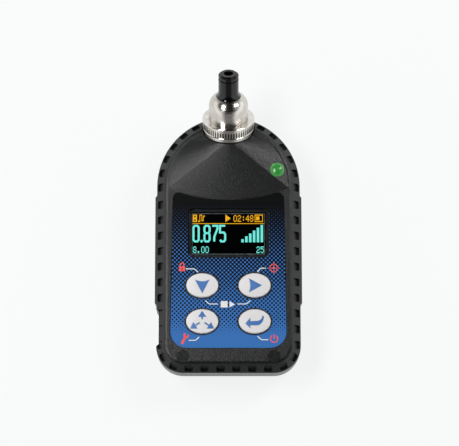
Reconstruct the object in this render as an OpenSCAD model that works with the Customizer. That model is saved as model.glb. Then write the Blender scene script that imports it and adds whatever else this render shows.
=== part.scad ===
// Pocket vibration meter with a screwed sensor plug on its shoulder.
// Units are millimetres. The meter lies on its back: X runs to the right, Y towards the plug,
// Z out of the display. The origin is the middle of the back.

/* [Case] */
// Width of the case, without the side rails
case_w = 48.2; // [46:0.1:56]
// Length of the case along its middle
case_l = 87.4; // [84:0.2:104]
// Thickness from the back to the flat of the face
case_t = 19; // [18.6:0.1:22]
// Wall thickness of both shells
wall = 1.8; // [1.5:0.1:2.1]
// Radius of the two corners at the foot
foot_r = 9; // [7.5:0.5:10.7]
// Height of the joint between the two shells above the back
joint_z = 7.6; // [6.9:0.1:8.2]
// How far the rounded rear edge draws in at the back
rear_draw = 3.2; // [2.6:0.1:3.6]

/* [Notched edge] */
// Plan width of the sloped band round the face
band_w = 2.6; // [2.2:0.1:3]
// Radius where the band meets the face
band_round = 1.8; // [1.4:0.1:2.2]
// Length of one notch along the edge
notch_l = 2.7; // [2.2:0.1:3.2]
// Depth of one notch
notch_depth = 0.9; // [0.6:0.1:1.1]
// Distance between neighbouring notches along the edge
notch_pitch = 5.28; // [4.4:0.01:6.4]

/* [Side rails] */
// Length of a rail at its outer face
rail_l = 36.2; // [30:0.2:40]
// How far the rails' middle lies below the middle of the case
rail_drop = 1.8; // [0.8:0.1:2.6]
// Height of a rail, along the thickness of the case
rail_h = 7; // [5.8:0.1:8]
// How far a rail stands out of the case
rail_out = 0.65; // [0.5:0.05:0.9]
// How deep a rail sits in the case
rail_in = 0.8; // [0.6:0.05:0.9]

/* [Shoulder] */
// Angle of the socket above the plane of the face
socket_tilt = 45; // [38:1:52]
// Distance of the socket's seat from the top end of the case
seat_from_end = 4.8; // [4.4:0.1:5.8]
// Depth of the seat's middle under the face
seat_below_face = 2.2; // [1.9:0.1:2.7]
// Radius of the curve where the shoulder meets the panel
shoulder_arc_r = 54; // [44:1:65]

/* [Panel] */
// Distance of the panel from the foot of the case
panel_foot_gap = 8; // [7.4:0.1:9.6]
// Distance of the panel's top, at the middle, below the centre of the arch
panel_top_gap = 5.3; // [4.8:0.1:6.9]
// Distance of the panel from the side of the case at its top
panel_side_gap_top = 5.5; // [5.2:0.1:6.6]
// Distance of the panel from the side of the case at its foot
panel_side_gap_foot = 4.8; // [4.4:0.1:5.1]
// Corner radius at the foot of the panel
panel_foot_r = 5.4; // [4.4:0.1:6.5]
// Corner radius at the top of the panel
panel_top_r = 2.2; // [1.8:0.1:2.7]
// Depth of the panel's recess
panel_recess = 0.4; // [0.33:0.01:0.5]
// Thickness of the panel foil
panel_t = 0.25; // [0.2:0.01:0.3]

/* [Display] */
// Width of the lit area
screen_w = 24.4; // [20:0.1:25.6]
// Height of the lit area
screen_h = 13.8; // [11.4:0.1:15]
// Border of the clear window round the lit area
window_border = 1.4; // [1.2:0.1:1.7]
// Thickness of the window
window_t = 1.05; // [0.9:0.05:1.2]
// Distance of the middle of the display below the top of the panel
screen_drop = 11.2; // [10.6:0.1:13]
// Thickness of the display glass
screen_t = 1.9; // [1.6:0.1:2]

/* [Keys] */
// Width of a key
key_w = 10.7; // [9:0.1:12]
// Height of a key
key_h = 8.2; // [7:0.1:9.2]
// Distance between the middles of the two key columns
key_column_pitch = 17.46; // [15.4:0.01:18]
// Distance between the middles of the two key rows
key_row_pitch = 12.1; // [11:0.1:12.6]
// Distance of the lower row from the foot of the panel
key_foot_gap = 8.8; // [7.6:0.1:9.6]
// How far a key stands out of the face
key_out = 0.75; // [0.65:0.05:0.9]
// How far a key travels
key_travel = 0.5; // [0.4:0.05:0.55]

/* [Lamp] */
// Diameter of the lamp's lens
lamp_d = 4.75; // [4:0.05:5.4]
// Distance of the lamp's middle from the side of the case
lamp_side_gap = 7.75; // [7.5:0.05:9.7]
// Distance of the lamp above the centre of the arch
lamp_up = 4.9; // [4:0.1:5.6]

/* [Socket] */
// Radius of the socket's flange
flange_r = 8.6; // [8:0.1:8.7]
// Thickness of the flange
flange_t = 1.8; // [1.5:0.1:2.1]
// Radius of the threaded neck that the ring screws on
neck_r = 7.2; // [6.9:0.1:7.4]
// Length of the neck above the flange
neck_l = 2.4; // [2:0.1:2.8]
// Radius of the barrel through the case
barrel_r = 5; // [4.6:0.1:5.3]
// Length of the barrel below the seat
barrel_l = 9; // [7.8:0.1:10]
// Radius of the circle that the contacts stand on
contact_circle_r = 2.4; // [2:0.1:2.8]
// Radius of one contact pin
pin_r = 0.4; // [0.34:0.01:0.46]
// Number of contacts
contact_count = 5; // [4:1:6]

/* [Plug] */
// Outer radius of the knurled ring
ring_r = 8.8; // [8.7:0.1:9.2]
// Length of the knurled ring
ring_l = 3.3; // [3:0.1:3.9]
// Number of grooves in the knurl
knurl_count = 60; // [40:1:72]
// Radius of the plug's body
plug_r = 6.6; // [6.1:0.1:6.8]
// Straight length of the body above the ring
plug_straight = 4.7; // [4:0.1:6]
// Height of the rounded top of the body
plug_dome = 3.6; // [3.2:0.1:4.6]

/* [Cable boot] */
// Outer radius of the boot
boot_r = 3.4; // [2.9:0.1:3.9]
// Radius of the flared foot of the boot
boot_foot_r = 4.15; // [3.9:0.05:4.5]
// Length of the boot above the plug
boot_l = 8.7; // [7.8:0.1:11]
// Radius of the hole for the lead
lead_hole_r = 1.6; // [1.35:0.05:1.8]

/* [Port] */
// Length of the recess for the port's cover
recess_l = 10.8; // [10.4:0.1:12]
// Depth of the recess
recess_depth = 0.85; // [0.75:0.05:0.9]
// Distance of the port from the foot of the case
port_from_foot = 15.1; // [15:0.1:17]
// Length of the cover from its pin to its free end
cover_l = 9; // [8.8:0.1:9.2]
// Height of the cover
cover_h = 4.2; // [3.7:0.1:4.3]
// Thickness of the cover
cover_t = 1; // [0.9:0.05:1.1]
// Radius of the cover's pin
cover_pin_r = 0.35; // [0.3:0.01:0.4]

/* [Back] */
// Spacing of the two threaded inserts in the back
insert_spacing = 24; // [20:0.5:26]
// Radius of an insert's thread hole, for an M3 screw
insert_hole_r = 1.25; // [1.1:0.05:1.45]
// Depth of an insert
insert_l = 4.5; // [4:0.1:5]
// Radius of a case screw's head
screw_head_r = 2; // [1.8:0.05:2.2]
// Radius of a case screw's thread
screw_r = 1.1; // [0.95:0.05:1.2]

/* [Boards and battery] */
// Thickness of the battery
battery_t = 6.1; // [5.2:0.1:6.2]
// Gap between the battery's side and the flat part of the floor's side
battery_side_gap = 1.1; // [0.6:0.1:4]
// Gap between the battery and the screw bosses at the foot
battery_foot_gap = 6.4; // [2.4:0.1:14]
// Thickness of the main board
board_t = 1.2; // [1:0.1:1.4]
// Thickness of the key board
key_board_t = 1; // [0.85:0.05:1.15]
// Gap between the two boards
board_gap = 3.3; // [3:0.1:3.4]

/* [Hidden] */

// Clearances: fit_gap is a running fit, seat_gap a seat, over the overrun of a cut
fit_gap = 0.08;
seat_gap = 0.05;
loose_gap = 0.2;
panel_gap = 0.2;
over = 0.4;
round_fn = 96;
small_fn = 32;
hull_fn = 36;

half_w = case_w / 2;
half_l = case_l / 2;
arch_y = half_l - half_w;
corner_x = half_w - foot_r;
corner_y = foot_r - half_l;

// Edge of the face: a band at 45 degrees that a small round blends into the flat
round_plan = band_round * sin(45);
round_rise = band_round * (1 - cos(45));
band_z = case_t - round_rise - band_w;
face_inset = band_w + round_plan;
ceiling_z = case_t - wall;
ceiling_inset = ceiling_z - band_z + wall * sqrt(2);
arc_steps = 5;
draw_steps = 8;

front_edge = concat(
    [[0, joint_z], [0, band_z], [band_w, band_z + band_w]],
    [for (i = [1:arc_steps]) let (a = 45 * (1 - i / arc_steps))
        [face_inset - band_round * sin(a), case_t - band_round * (1 - cos(a))]]);
front_cavity_edge = [[wall, joint_z - over], [wall, band_z - wall * (sqrt(2) - 1)],
    [ceiling_inset, ceiling_z]];
rear_edge = [for (i = [0:draw_steps]) let (a = 90 * i / draw_steps)
    [rear_draw * (1 - sin(a)), joint_z * (1 - cos(a))]];
floor_z = wall;
rear_cavity_edge = concat(
    [for (i = [0:draw_steps]) let (a = 90 * i / draw_steps)
        [wall + rear_draw * (1 - sin(a)), floor_z + (joint_z - floor_z) * (1 - cos(a))]],
    [[wall, joint_z + over]]);

// Joint between the shells: a lip on the rear shell in a rebate of the front shell
lip_out = wall / 2;
lip_h = 0.8;
gasket_t = 0.4;
lip_z = joint_z + lip_h;

// Notches in the band
notch_slope_share = 0.76;
notch_corner_share = 0.2;
notch_across = band_w * sqrt(2) * notch_slope_share;
notch_r = notch_across * notch_corner_share;
notch_start_share = 0.13;
notch_start = notch_pitch * notch_start_share;
side_start_share = 0.25;
side_start = notch_pitch * side_start_share;
notch_arch_reach = 66;
notch_angle = notch_pitch / half_w * 180 / PI;
notch_start_angle = notch_start / half_w * 180 / PI;
arch_notches = floor((notch_arch_reach + notch_start_angle) / notch_angle);
side_notches = floor((arch_y - side_start - corner_y) / notch_pitch);
foot_notches = floor(2 * corner_x / notch_pitch + 1);
corner_notch_shares = [0.34, 0.73];

// Socket seat on the shoulder
seat_y = half_l - seat_from_end;
seat_z = case_t - seat_below_face;
seat_rim = 0.4;
seat_r = flange_r + seat_rim;
rim_reach_a = 50;
spot_r = ring_r + 0.5 * seat_rim + fit_gap;
seat_wall = wall * 1.2;
collar_l = 3;
sliver = 0.3;
socket_bore_r = barrel_r + fit_gap;
nut_rim = 1.6;
nut_r = barrel_r + nut_rim;
socket_room_r = nut_r + 2 * loose_gap;
socket_room_l = barrel_l + 3 * seat_wall;

// Panel
panel_top_y = arch_y - panel_top_gap;
panel_foot_y = panel_foot_gap - half_l;
panel_half_top = half_w - panel_side_gap_top;
panel_half_foot = half_w - panel_side_gap_foot;
recess_z = case_t - panel_recess;
panel_top_z = recess_z + panel_t;
corner_steps = 6;
arc_half_x = panel_half_top - panel_top_r;
arc_centre_y = panel_top_y + shoulder_arc_r;
shoulder_gap = 0.25;

// Display and window
screen_y = panel_top_y - screen_drop;
window_w = screen_w + 2 * window_border;
window_h = screen_h + 2 * window_border;
window_r = window_border * 1.3;
window_z = panel_top_z - window_t;
sight_border_share = 0.3;
sight_w = screen_w + 2 * window_border * sight_border_share;
sight_h = screen_h + 2 * window_border * sight_border_share;
glass_margin_share = 0.12;
glass_w = screen_w * (1 + 2 * glass_margin_share);
glass_h = screen_h * (1 + 3 * glass_margin_share);

// Boards, from the display downwards
screen_gasket_t = 0.25;
screen_z = ceiling_z - screen_gasket_t - screen_t;
key_board_z = screen_z - key_board_t - seat_gap;
key_board_top = key_board_z + key_board_t;
board_top = key_board_z - board_gap;
board_z = board_top - board_t;
board_half_w = half_w - wall - 2 * loose_gap;
board_foot_gap = 8.8;
board_foot_y = board_foot_gap - half_l;
boss_r = screw_head_r + 0.6;
board_end_gap = 3;
board_end_y = seat_y - seat_r - board_end_gap;

// Keys
key_x = key_column_pitch / 2;
key_row_y = [panel_foot_y + key_foot_gap + key_row_pitch, panel_foot_y + key_foot_gap];
key_gap = 0.15;
key_rim = 0.9;
key_flange_t = 0.8;
key_top_z = case_t + key_out;
key_flange_z = ceiling_z - key_gap - key_flange_t;
dome_h = 0.4;
dome_r = 2.6;
key_foot_z = key_board_top + dome_h + key_travel + seat_gap;
key_foot_r = 1.6;
key_crown_share = 4.2;
key_crown_r = key_crown_share * key_w;
key_edge = 0.35;
key_wall_z = case_t + 0.6 * key_edge;
ellipse_steps = 48;

// Lamp
lamp_r = lamp_d / 2;
lamp_x = half_w - lamp_side_gap;
lamp_y = arch_y + lamp_up;
lamp_dome_share = 0.35;
lamp_out = lamp_dome_share * lamp_r;
lamp_step = 1.1;
lamp_flange = 0.6;
lamp_flange_t = 0.6;

// Port in the left side
port_y = port_from_foot - half_l;
cover_pivot_inset = recess_depth + cover_t * 0.9;
cover_pivot_x = -(half_w - cover_pivot_inset);
cover_pivot_y = port_y - cover_l / 2;
knuckle_r = cover_t * 0.9;
cover_bore_r = cover_pin_r + fit_gap;
usb_w = 7.5;
usb_h = 2.7;
usb_l = 5.2;
usb_z = board_top + usb_h / 2;
cover_z = usb_z - cover_h / 2;
pin_ear = 1;
block_inset = cover_pivot_inset + knuckle_r + 1.4 * cover_t;
block_half_l = cover_l / 2 + 2.2 * cover_t;
usb_inset = block_inset - cover_t;

// Fasteners
screw_low_x = corner_x;
screw_low_y = corner_y - 0.43 * foot_r;
screw_top_x_share = 0.56;
screw_top_x = half_w * screw_top_x_share;
screw_top_y = arch_y + half_w / 2;
screw_places = [[-screw_low_x, screw_low_y], [screw_low_x, screw_low_y],
    [-screw_top_x, screw_top_y], [screw_top_x, screw_top_y]];
screw_head_t = 1.5;
screw_sink = 0.3;
screw_tip_z = ceiling_z - wall;
pilot_r = screw_r - seat_gap;
plug_disc_r = 2.07;
plug_disc_t = 0.8;
insert_y = arch_y + 0.17 * half_w;
insert_r = insert_hole_r + 0.85;
insert_boss_r = insert_r + 1;
post_x = board_half_w - 3.2;
post_r = 2;
post_places = [[-post_x, arch_y - 0.6 * cover_l], [post_x, arch_y - 0.6 * cover_l],
    [-post_x, key_row_y[0] - 0.3 * key_row_pitch], [post_x, key_row_y[0] - 0.3 * key_row_pitch]];
board_screw_r = 0.8;
board_head_r = 1.5;
board_head_t = 0.9;

// Battery
pad_t = 0.4;
battery_z = floor_z + pad_t;
battery_w = case_w - 2 * (wall + rear_draw + battery_side_gap);
battery_end_y = insert_y - insert_boss_r - 4 * loose_gap;
battery_l = battery_end_y - screw_low_y - boss_r - battery_foot_gap;
battery_y = battery_end_y - battery_l / 2;
battery_top = battery_z + battery_t;

// Socket and plug along their common axis, from the seat outwards
neck_top = flange_t + neck_l;
nose_r = barrel_r + 0.45;
nose_bore_r = nose_r + fit_gap;
nose_floor = 0.3 * flange_t;
nose_end = nose_floor + loose_gap;
insulator_r = barrel_r - 0.85;
insulator_l = barrel_l - 0.4;
ring_low = flange_t + 0.1;
ring_top = ring_low + ring_l;
ring_lip_t = 0.5;
ring_rim = 0.7;
knurl_depth = 0.35;
ring_bore_r = neck_r + fit_gap;
shoulder_r = neck_r - fit_gap;
shoulder_low = neck_top + fit_gap;
shoulder_top = ring_top - ring_lip_t - fit_gap;
plug_top = ring_top + plug_straight + plug_dome;
plug_neck_r = boot_foot_r - 0.35;
plug_hole_r = lead_hole_r + 0.7;
plug_wall = 1;
pin_reach = 0.5 * barrel_l;
hole_gap = 0.1;
seal_t = 0.7;
flange_edge = 0.35;
seal_r = (flange_r - flange_edge + barrel_r) / 2;
nut_t = 2;
socket_board_t = 0.8;
stem_l = 2;

function half_section(edge, radius) = concat([[0, edge[0][1]]],
    [for (p = edge) [radius - p[0], p[1]]], [[0, edge[len(edge) - 1][1]]]);
function full_section(edge, radius) = concat([for (p = edge) [radius - p[0], p[1]]],
    [for (i = [len(edge) - 1:-1:0]) [edge[i][0] - radius, edge[i][1]]]);
function foot_section(edge, radius) = concat([[0, edge[0][1]]],
    [for (p = edge) [p[0] - radius, p[1]]], [[0, edge[len(edge) - 1][1]]]);
function arc_points(centre, radius, from, to, steps) =
    [for (i = [0:steps]) let (a = from + (to - from) * i / steps)
        centre + radius * [cos(a), sin(a)]];
function ellipse_points(a, b) =
    [for (i = [0:ellipse_steps - 1]) [a * cos(360 * i / ellipse_steps), b * sin(360 * i / ellipse_steps)]];

// Solid inside the case outline, with the given edge from bottom to top as [inset, height]
module case_form(edge) {
    translate([0, arch_y, 0])
        rotate_extrude(angle = 180, $fn = round_fn)
            polygon(half_section(edge, half_w));
    translate([0, arch_y, 0])
        rotate([90, 0, 0])
            linear_extrude(arch_y - corner_y)
                polygon(full_section(edge, half_w));
    translate([-corner_x, corner_y, 0])
        rotate([90, 0, 90])
            linear_extrude(2 * corner_x)
                polygon(foot_section(edge, foot_r));
    for (side = [0, 1])
        translate([side == 0 ? corner_x : -corner_x, corner_y, 0])
            rotate([0, 0, side == 0 ? -90 : 180])
                rotate_extrude(angle = 90, $fn = round_fn)
                    polygon(half_section(edge, foot_r));
}

// Ring along the case wall between two insets and two heights
module case_ring(inset_out, inset_in, z_low, z_high) {
    difference() {
        case_form([[inset_out, z_low], [inset_out, z_high]]);
        case_form([[inset_in, z_low - over], [inset_in, z_high + over]]);
    }
}

module at_socket(w = 0) {
    translate([0, seat_y, seat_z])
        rotate([socket_tilt - 90, 0, 0])
            translate([0, 0, w])
                children();
}

module rounded_slot(x, y, r, h) {
    linear_extrude(h)
        polygon(concat(
            arc_points([x / 2 - r, y / 2 - r], r, 0, 90, corner_steps / 2),
            arc_points([r - x / 2, y / 2 - r], r, 90, 180, corner_steps / 2),
            arc_points([r - x / 2, r - y / 2], r, 180, 270, corner_steps / 2),
            arc_points([x / 2 - r, r - y / 2], r, 270, 360, corner_steps / 2)));
}

// One notch, square to the band, at the given distance out from the middle
module notch(reach) {
    translate([reach - band_w / 2, 0, band_z + band_w / 2])
        rotate([0, 45, 0])
            translate([0, 0, -notch_depth])
                rounded_slot(notch_across, notch_l, notch_r, notch_depth + band_w);
}

module notches() {
    for (side = [0, 180], k = [0:arch_notches])
        let (a = k * notch_angle - notch_start_angle)
            translate([0, arch_y, 0])
                rotate([0, 0, side == 0 ? a : 180 - a])
                    notch(half_w);
    for (side = [0, 180], k = [1:side_notches])
        translate([0, arch_y - side_start - k * notch_pitch, 0])
            rotate([0, 0, side])
                notch(half_w);
    for (side = [0, 1], share = corner_notch_shares)
        translate([side == 0 ? corner_x : -corner_x, corner_y, 0])
            rotate([0, 0, side == 0 ? -90 * share : 180 + 90 * share])
                notch(foot_r);
    for (k = [0:foot_notches - 1])
        translate([(k - (foot_notches - 1) / 2) * notch_pitch, corner_y, 0])
            rotate([0, 0, -90])
                notch(foot_r);
}

// Outline of the panel: a hollow arc on top, round corners, sides that widen to the foot
module panel_outline(grow = 0) {
    top_a = asin(arc_half_x / shoulder_arc_r);
    side_y = arc_centre_y - shoulder_arc_r * cos(top_a) - panel_top_r;
    polygon(concat(
        arc_points([0, arc_centre_y], shoulder_arc_r - grow, 270 - top_a, 270 + top_a, 3 * corner_steps),
        arc_points([arc_half_x, side_y], panel_top_r + grow, 80, 0, corner_steps),
        arc_points([panel_half_foot - panel_foot_r, panel_foot_y + panel_foot_r],
            panel_foot_r + grow, 0, -90, corner_steps),
        arc_points([panel_foot_r - panel_half_foot, panel_foot_y + panel_foot_r],
            panel_foot_r + grow, 270, 180, corner_steps),
        arc_points([-arc_half_x, side_y], panel_top_r + grow, 180, 100, corner_steps)));
}

// Shoulder that rises from the face to the socket's seat
module shoulder_form(disc_r, depth, draw, foot_z) {
    reach = half_w - face_inset - draw;
    tip_a = asin(reach / shoulder_arc_r);
    hull() {
        at_socket(-depth - sliver)
            cylinder(r = disc_r, h = sliver, $fn = 2 * hull_fn);
        translate([0, 0, foot_z - sliver])
            linear_extrude(sliver)
                polygon(concat(
                    arc_points([0, arc_centre_y + shoulder_gap + draw], shoulder_arc_r,
                        270 - tip_a, 270 + tip_a, 4 * corner_steps),
                    arc_points([0, arch_y], reach - sliver, 0, rim_reach_a, 2 * corner_steps),
                    arc_points([0, arch_y], reach - sliver, 180 - rim_reach_a, 180, 2 * corner_steps)));
    }
}

// Outline in plan of the space round the port's cover
module port_recess() {
    y0 = port_y - recess_l / 2;
    y1 = port_y + recess_l / 2;
    translate([0, 0, joint_z / 2])
        linear_extrude(case_t)
            polygon([[-half_w - over, y0 - recess_depth - over],
                [-half_w + recess_depth, y0], [-half_w + recess_depth, y1],
                [-half_w - over, y1 + recess_depth + over]]);
}

module rail_outline(side, gap) {
    mirror([side < 0 ? 1 : 0, 0, 0])
        translate([0, -rail_drop, 0])
            intersection() {
                translate([0, 0, joint_z - lip_h - gap])
                    linear_extrude(rail_h + 2 * gap)
                        polygon([[half_w + rail_out, -rail_l / 2 - gap],
                            [half_w + rail_out, rail_l / 2 + gap],
                            [half_w - rail_in - gap, rail_l / 2 + rail_out + rail_in + gap],
                            [half_w - rail_in - gap, -rail_l / 2 - rail_out - rail_in - gap]]);
                rotate([90, 0, 0])
                    translate([0, 0, -rail_l])
                        linear_extrude(2 * rail_l)
                            polygon([[half_w - rail_in - gap, joint_z - lip_h - gap],
                                [half_w, joint_z - lip_h - gap],
                                [half_w + rail_out, joint_z - lip_h + rail_out - gap],
                                [half_w + rail_out, joint_z - lip_h + rail_h - rail_out + gap],
                                [half_w, joint_z - lip_h + rail_h + gap],
                                [half_w - rail_in - gap, joint_z - lip_h + rail_h + gap]]);
            }
}

module front_shell() {
    color("#2e3032")
        difference() {
            union() {
                difference() {
                    union() {
                        case_form(front_edge);
                        shoulder_form(seat_r, 0, 0, case_t);
                        at_socket(-collar_l)
                            cylinder(r = seat_r - sliver, h = collar_l - sliver / 2, $fn = round_fn);
                    }
                    case_form(front_cavity_edge);
                    shoulder_form(socket_room_r - sliver, seat_wall + sliver, wall, ceiling_z);
                    at_socket(-seat_wall - socket_room_l)
                        cylinder(r = socket_room_r, h = socket_room_l, $fn = round_fn);
                }
                front_bosses();
                port_block();
            }
            case_form([[lip_out - seat_gap, joint_z - over], [lip_out - seat_gap, lip_z + gasket_t]]);
            at_socket()
                cylinder(r = spot_r, h = ring_top + plug_top, $fn = round_fn);
            at_socket(-seat_wall - over)
                cylinder(r = socket_bore_r, h = seat_wall + 2 * over, $fn = round_fn);
            notches();
            port_recess();
            port_cuts();
            translate([0, 0, recess_z])
                linear_extrude(panel_recess + over)
                    panel_outline(panel_gap);
            window_cuts();
            for (x = [-key_x, key_x], y = key_row_y)
                translate([x, y, ceiling_z - over])
                    linear_extrude(wall + 2 * over)
                        polygon(ellipse_points(key_w / 2 + key_gap, key_h / 2 + key_gap));
            translate([lamp_x, lamp_y, ceiling_z - over])
                cylinder(r = lamp_r + seat_gap, h = wall + 2 * lamp_step + 2 * over, $fn = round_fn);
            for (side = [-1, 1])
                translate([side * screw_low_x, screw_low_y, case_t - plug_disc_t - seat_gap])
                    cylinder(r = plug_disc_r + seat_gap, h = plug_disc_t + over, $fn = round_fn);
            for (side = [-1, 1])
                rail_outline(side, seat_gap);
            front_pilots();
        }
}

// Screw bosses and board posts under the face
module front_bosses() {
    for (p = screw_places)
        translate([p[0], p[1], joint_z + seat_gap])
            cylinder(r = boss_r, h = ceiling_z - joint_z, $fn = small_fn);
    for (p = post_places)
        translate([p[0], p[1], key_board_top])
            cylinder(r = post_r, h = ceiling_z + wall / 4 - key_board_top, $fn = small_fn);
}

module front_pilots() {
    for (p = screw_places)
        translate([p[0], p[1], joint_z - over])
            cylinder(r = pilot_r, h = screw_tip_z - joint_z + over + loose_gap, $fn = small_fn);
    for (p = post_places)
        translate([p[0], p[1], key_board_top - over])
            cylinder(r = board_screw_r - seat_gap, h = ceiling_z - key_board_top + over, $fn = small_fn);
}

// Thick part of the left wall that carries the port's cover
module port_block() {
    translate([-half_w + wall * 0.8, port_y - block_half_l, lip_z + gasket_t + seat_gap])
        cube([block_inset - wall * 0.8, 2 * block_half_l, ceiling_z - lip_z - gasket_t]);
}

module port_cuts() {
    gap = loose_gap;
    translate([-half_w - over, cover_pivot_y - knuckle_r - gap, cover_z - gap])
        cube([over + recess_depth + cover_t + gap, cover_l + knuckle_r + 2 * gap, cover_h + 2 * gap]);
    translate([cover_pivot_x, cover_pivot_y, cover_z - gap])
        cylinder(r = knuckle_r + gap, h = cover_h + 2 * gap, $fn = small_fn);
    translate([cover_pivot_x, cover_pivot_y, cover_z - pin_ear - gap])
        cylinder(r = cover_pin_r + seat_gap, h = cover_h + 2 * pin_ear + 2 * gap, $fn = small_fn);
    translate([-half_w, port_y, usb_z])
        rotate([0, 90, 0])
            rounded_slot(usb_h + 2 * gap, usb_w + 2 * gap, usb_h / 3, block_inset + over);
}

module window_cuts() {
    translate([0, screen_y, window_z - seat_gap])
        rounded_slot(window_w + 2 * seat_gap, window_h + 2 * seat_gap, window_r, wall + over);
    translate([-sight_w / 2, screen_y - sight_h / 2, ceiling_z - over])
        cube([sight_w, sight_h, wall]);
}

module rear_shell() {
    color("#27292b")
        difference() {
            union() {
                difference() {
                    case_form(rear_edge);
                    case_form(rear_cavity_edge);
                }
                case_ring(lip_out, wall, joint_z - wall, lip_z);
                intersection() {
                    union() {
                        for (p = screw_places)
                            translate([p[0], p[1], 0])
                                cylinder(r = boss_r, h = joint_z, $fn = small_fn);
                        for (side = [-1, 1])
                            translate([side * insert_spacing / 2, insert_y, 0])
                                cylinder(r = insert_boss_r, h = insert_l + wall / 2, $fn = small_fn);
                        battery_ribs();
                    }
                    case_form(rear_edge);
                }
            }
            for (p = screw_places) {
                translate([p[0], p[1], -over])
                    cylinder(r = screw_head_r + loose_gap, h = screw_sink + screw_head_t + over, $fn = small_fn);
                translate([p[0], p[1], 0])
                    cylinder(r = screw_r + fit_gap, h = joint_z + over, $fn = small_fn);
            }
            for (side = [-1, 1])
                translate([side * insert_spacing / 2, insert_y, -over])
                    cylinder(r = insert_r, h = insert_l + over, $fn = small_fn);
            port_recess();
            for (side = [-1, 1])
                rail_outline(side, seat_gap);
        }
}

// Two low ribs that hold the battery at its ends
module battery_ribs() {
    rib_t = 0.8 * wall;
    for (side = [-1, 1])
        translate([-battery_w / 4, battery_y + side * (battery_l / 2 + loose_gap + rib_t / 2) - rib_t / 2, floor_z / 2])
            cube([battery_w / 2, rib_t, floor_z / 2 + battery_t / 2]);
}

module case_gasket() {
    color("#3a3d40")
        case_ring(lip_out + seat_gap, wall - seat_gap, lip_z, lip_z + gasket_t);
}

module case_screws() {
    color("#b8babd")
        for (p = screw_places)
            translate([p[0], p[1], screw_sink])
                difference() {
                    union() {
                        cylinder(r = screw_head_r, h = screw_head_t, $fn = small_fn);
                        cylinder(r = pilot_r, h = screw_tip_z - screw_sink, $fn = small_fn);
                    }
                    translate([0, 0, -over])
                        cylinder(r = screw_head_r / 2, h = over + screw_head_t / 2, $fn = 6);
                }
}

module band_inserts() {
    color("#b9974c")
        for (side = [-1, 1])
            translate([side * insert_spacing / 2, insert_y, 0])
                difference() {
                    cylinder(r = insert_r, h = insert_l, $fn = small_fn);
                    translate([0, 0, -over])
                        cylinder(r = insert_hole_r, h = insert_l - seat_gap, $fn = small_fn);
                }
}

module side_rail_left() {
    color("#141517")
        rail_outline(-1, 0);
}

module side_rail_right() {
    color("#141517")
        rail_outline(1, 0);
}

module corner_plugs() {
    color("#26282a")
        for (side = [-1, 1])
            translate([side * screw_low_x, screw_low_y, case_t - plug_disc_t - seat_gap])
                cylinder(r = plug_disc_r, h = plug_disc_t, $fn = round_fn);
}

module panel_overlay() {
    color("#1f3f6b")
        translate([0, 0, recess_z])
            difference() {
                linear_extrude(panel_t)
                    panel_outline(0);
                translate([0, screen_y, -over])
                    rounded_slot(window_w + 2 * seat_gap, window_h + 2 * seat_gap, window_r, panel_t + 2 * over);
                for (x = [-key_x, key_x], y = key_row_y)
                    translate([x, y, -over])
                        linear_extrude(panel_t + 2 * over)
                            polygon(ellipse_points(key_w / 2 + key_gap, key_h / 2 + key_gap));
            }
}

module display_window() {
    color("#10151c")
        translate([0, screen_y, window_z])
            rounded_slot(window_w, window_h, window_r, window_t);
}

module display_gasket() {
    color("#202224")
        translate([0, screen_y, ceiling_z - screen_gasket_t])
            difference() {
                translate([-glass_w / 2, -glass_h / 2, 0])
                    cube([glass_w, glass_h, screen_gasket_t]);
                translate([-sight_w / 2, -sight_h / 2, -over])
                    cube([sight_w, sight_h, screen_gasket_t + 2 * over]);
            }
}

module display_module() {
    color("#0b0d10")
        translate([-glass_w / 2, screen_y - glass_h / 2, screen_z])
            cube([glass_w, glass_h, screen_t]);
}

// Ribbon from the foot of the display glass onto the key board
module display_flex() {
    ribbon_w = glass_w / 3;
    ribbon_t = seat_gap * 3;
    ribbon_l = 1.8;
    color("#b0702a")
        translate([-ribbon_w / 2, screen_y - glass_h / 2 - ribbon_l, key_board_top])
            difference() {
                cube([ribbon_w, ribbon_l, screen_t / 2 + ribbon_t]);
                translate([-over, ribbon_t, ribbon_t])
                    cube([ribbon_w + 2 * over, ribbon_l, screen_t / 2 - ribbon_t]);
            }
}

module board_outline(end_y) {
    intersection() {
        union() {
            translate([0, arch_y])
                circle(r = board_half_w, $fn = round_fn);
            translate([-board_half_w, board_foot_y])
                square([2 * board_half_w, arch_y - board_foot_y]);
        }
        translate([-half_w, board_foot_y])
            square([case_w, end_y - board_foot_y]);
    }
}

// Room that a board leaves at the port's thick wall
module port_clearance(z, h) {
    translate([-half_w, port_y - block_half_l - loose_gap, z - over])
        cube([block_inset + loose_gap, 2 * (block_half_l + loose_gap), h + 2 * over]);
}

module board_holes(z, h) {
    for (p = post_places)
        translate([p[0], p[1], z - over])
            cylinder(r = board_screw_r + fit_gap, h = h + 2 * over, $fn = small_fn);
}

module key_board() {
    color("#1d5a34")
        difference() {
            translate([0, 0, key_board_z])
                linear_extrude(key_board_t)
                    board_outline(board_end_y);
            port_clearance(key_board_z, key_board_t);
            board_holes(key_board_z, key_board_t);
        }
}

module key_domes() {
    color("#c9cbcd")
        for (x = [-key_x, key_x], y = key_row_y)
            translate([x, y, key_board_top])
                rotate_extrude($fn = small_fn)
                    polygon([[0, 0], [dome_r, 0], [dome_r, dome_h / 4], [dome_r * 0.7, dome_h * 0.8],
                        [dome_r * 0.35, dome_h], [0, dome_h]]);
}

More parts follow.
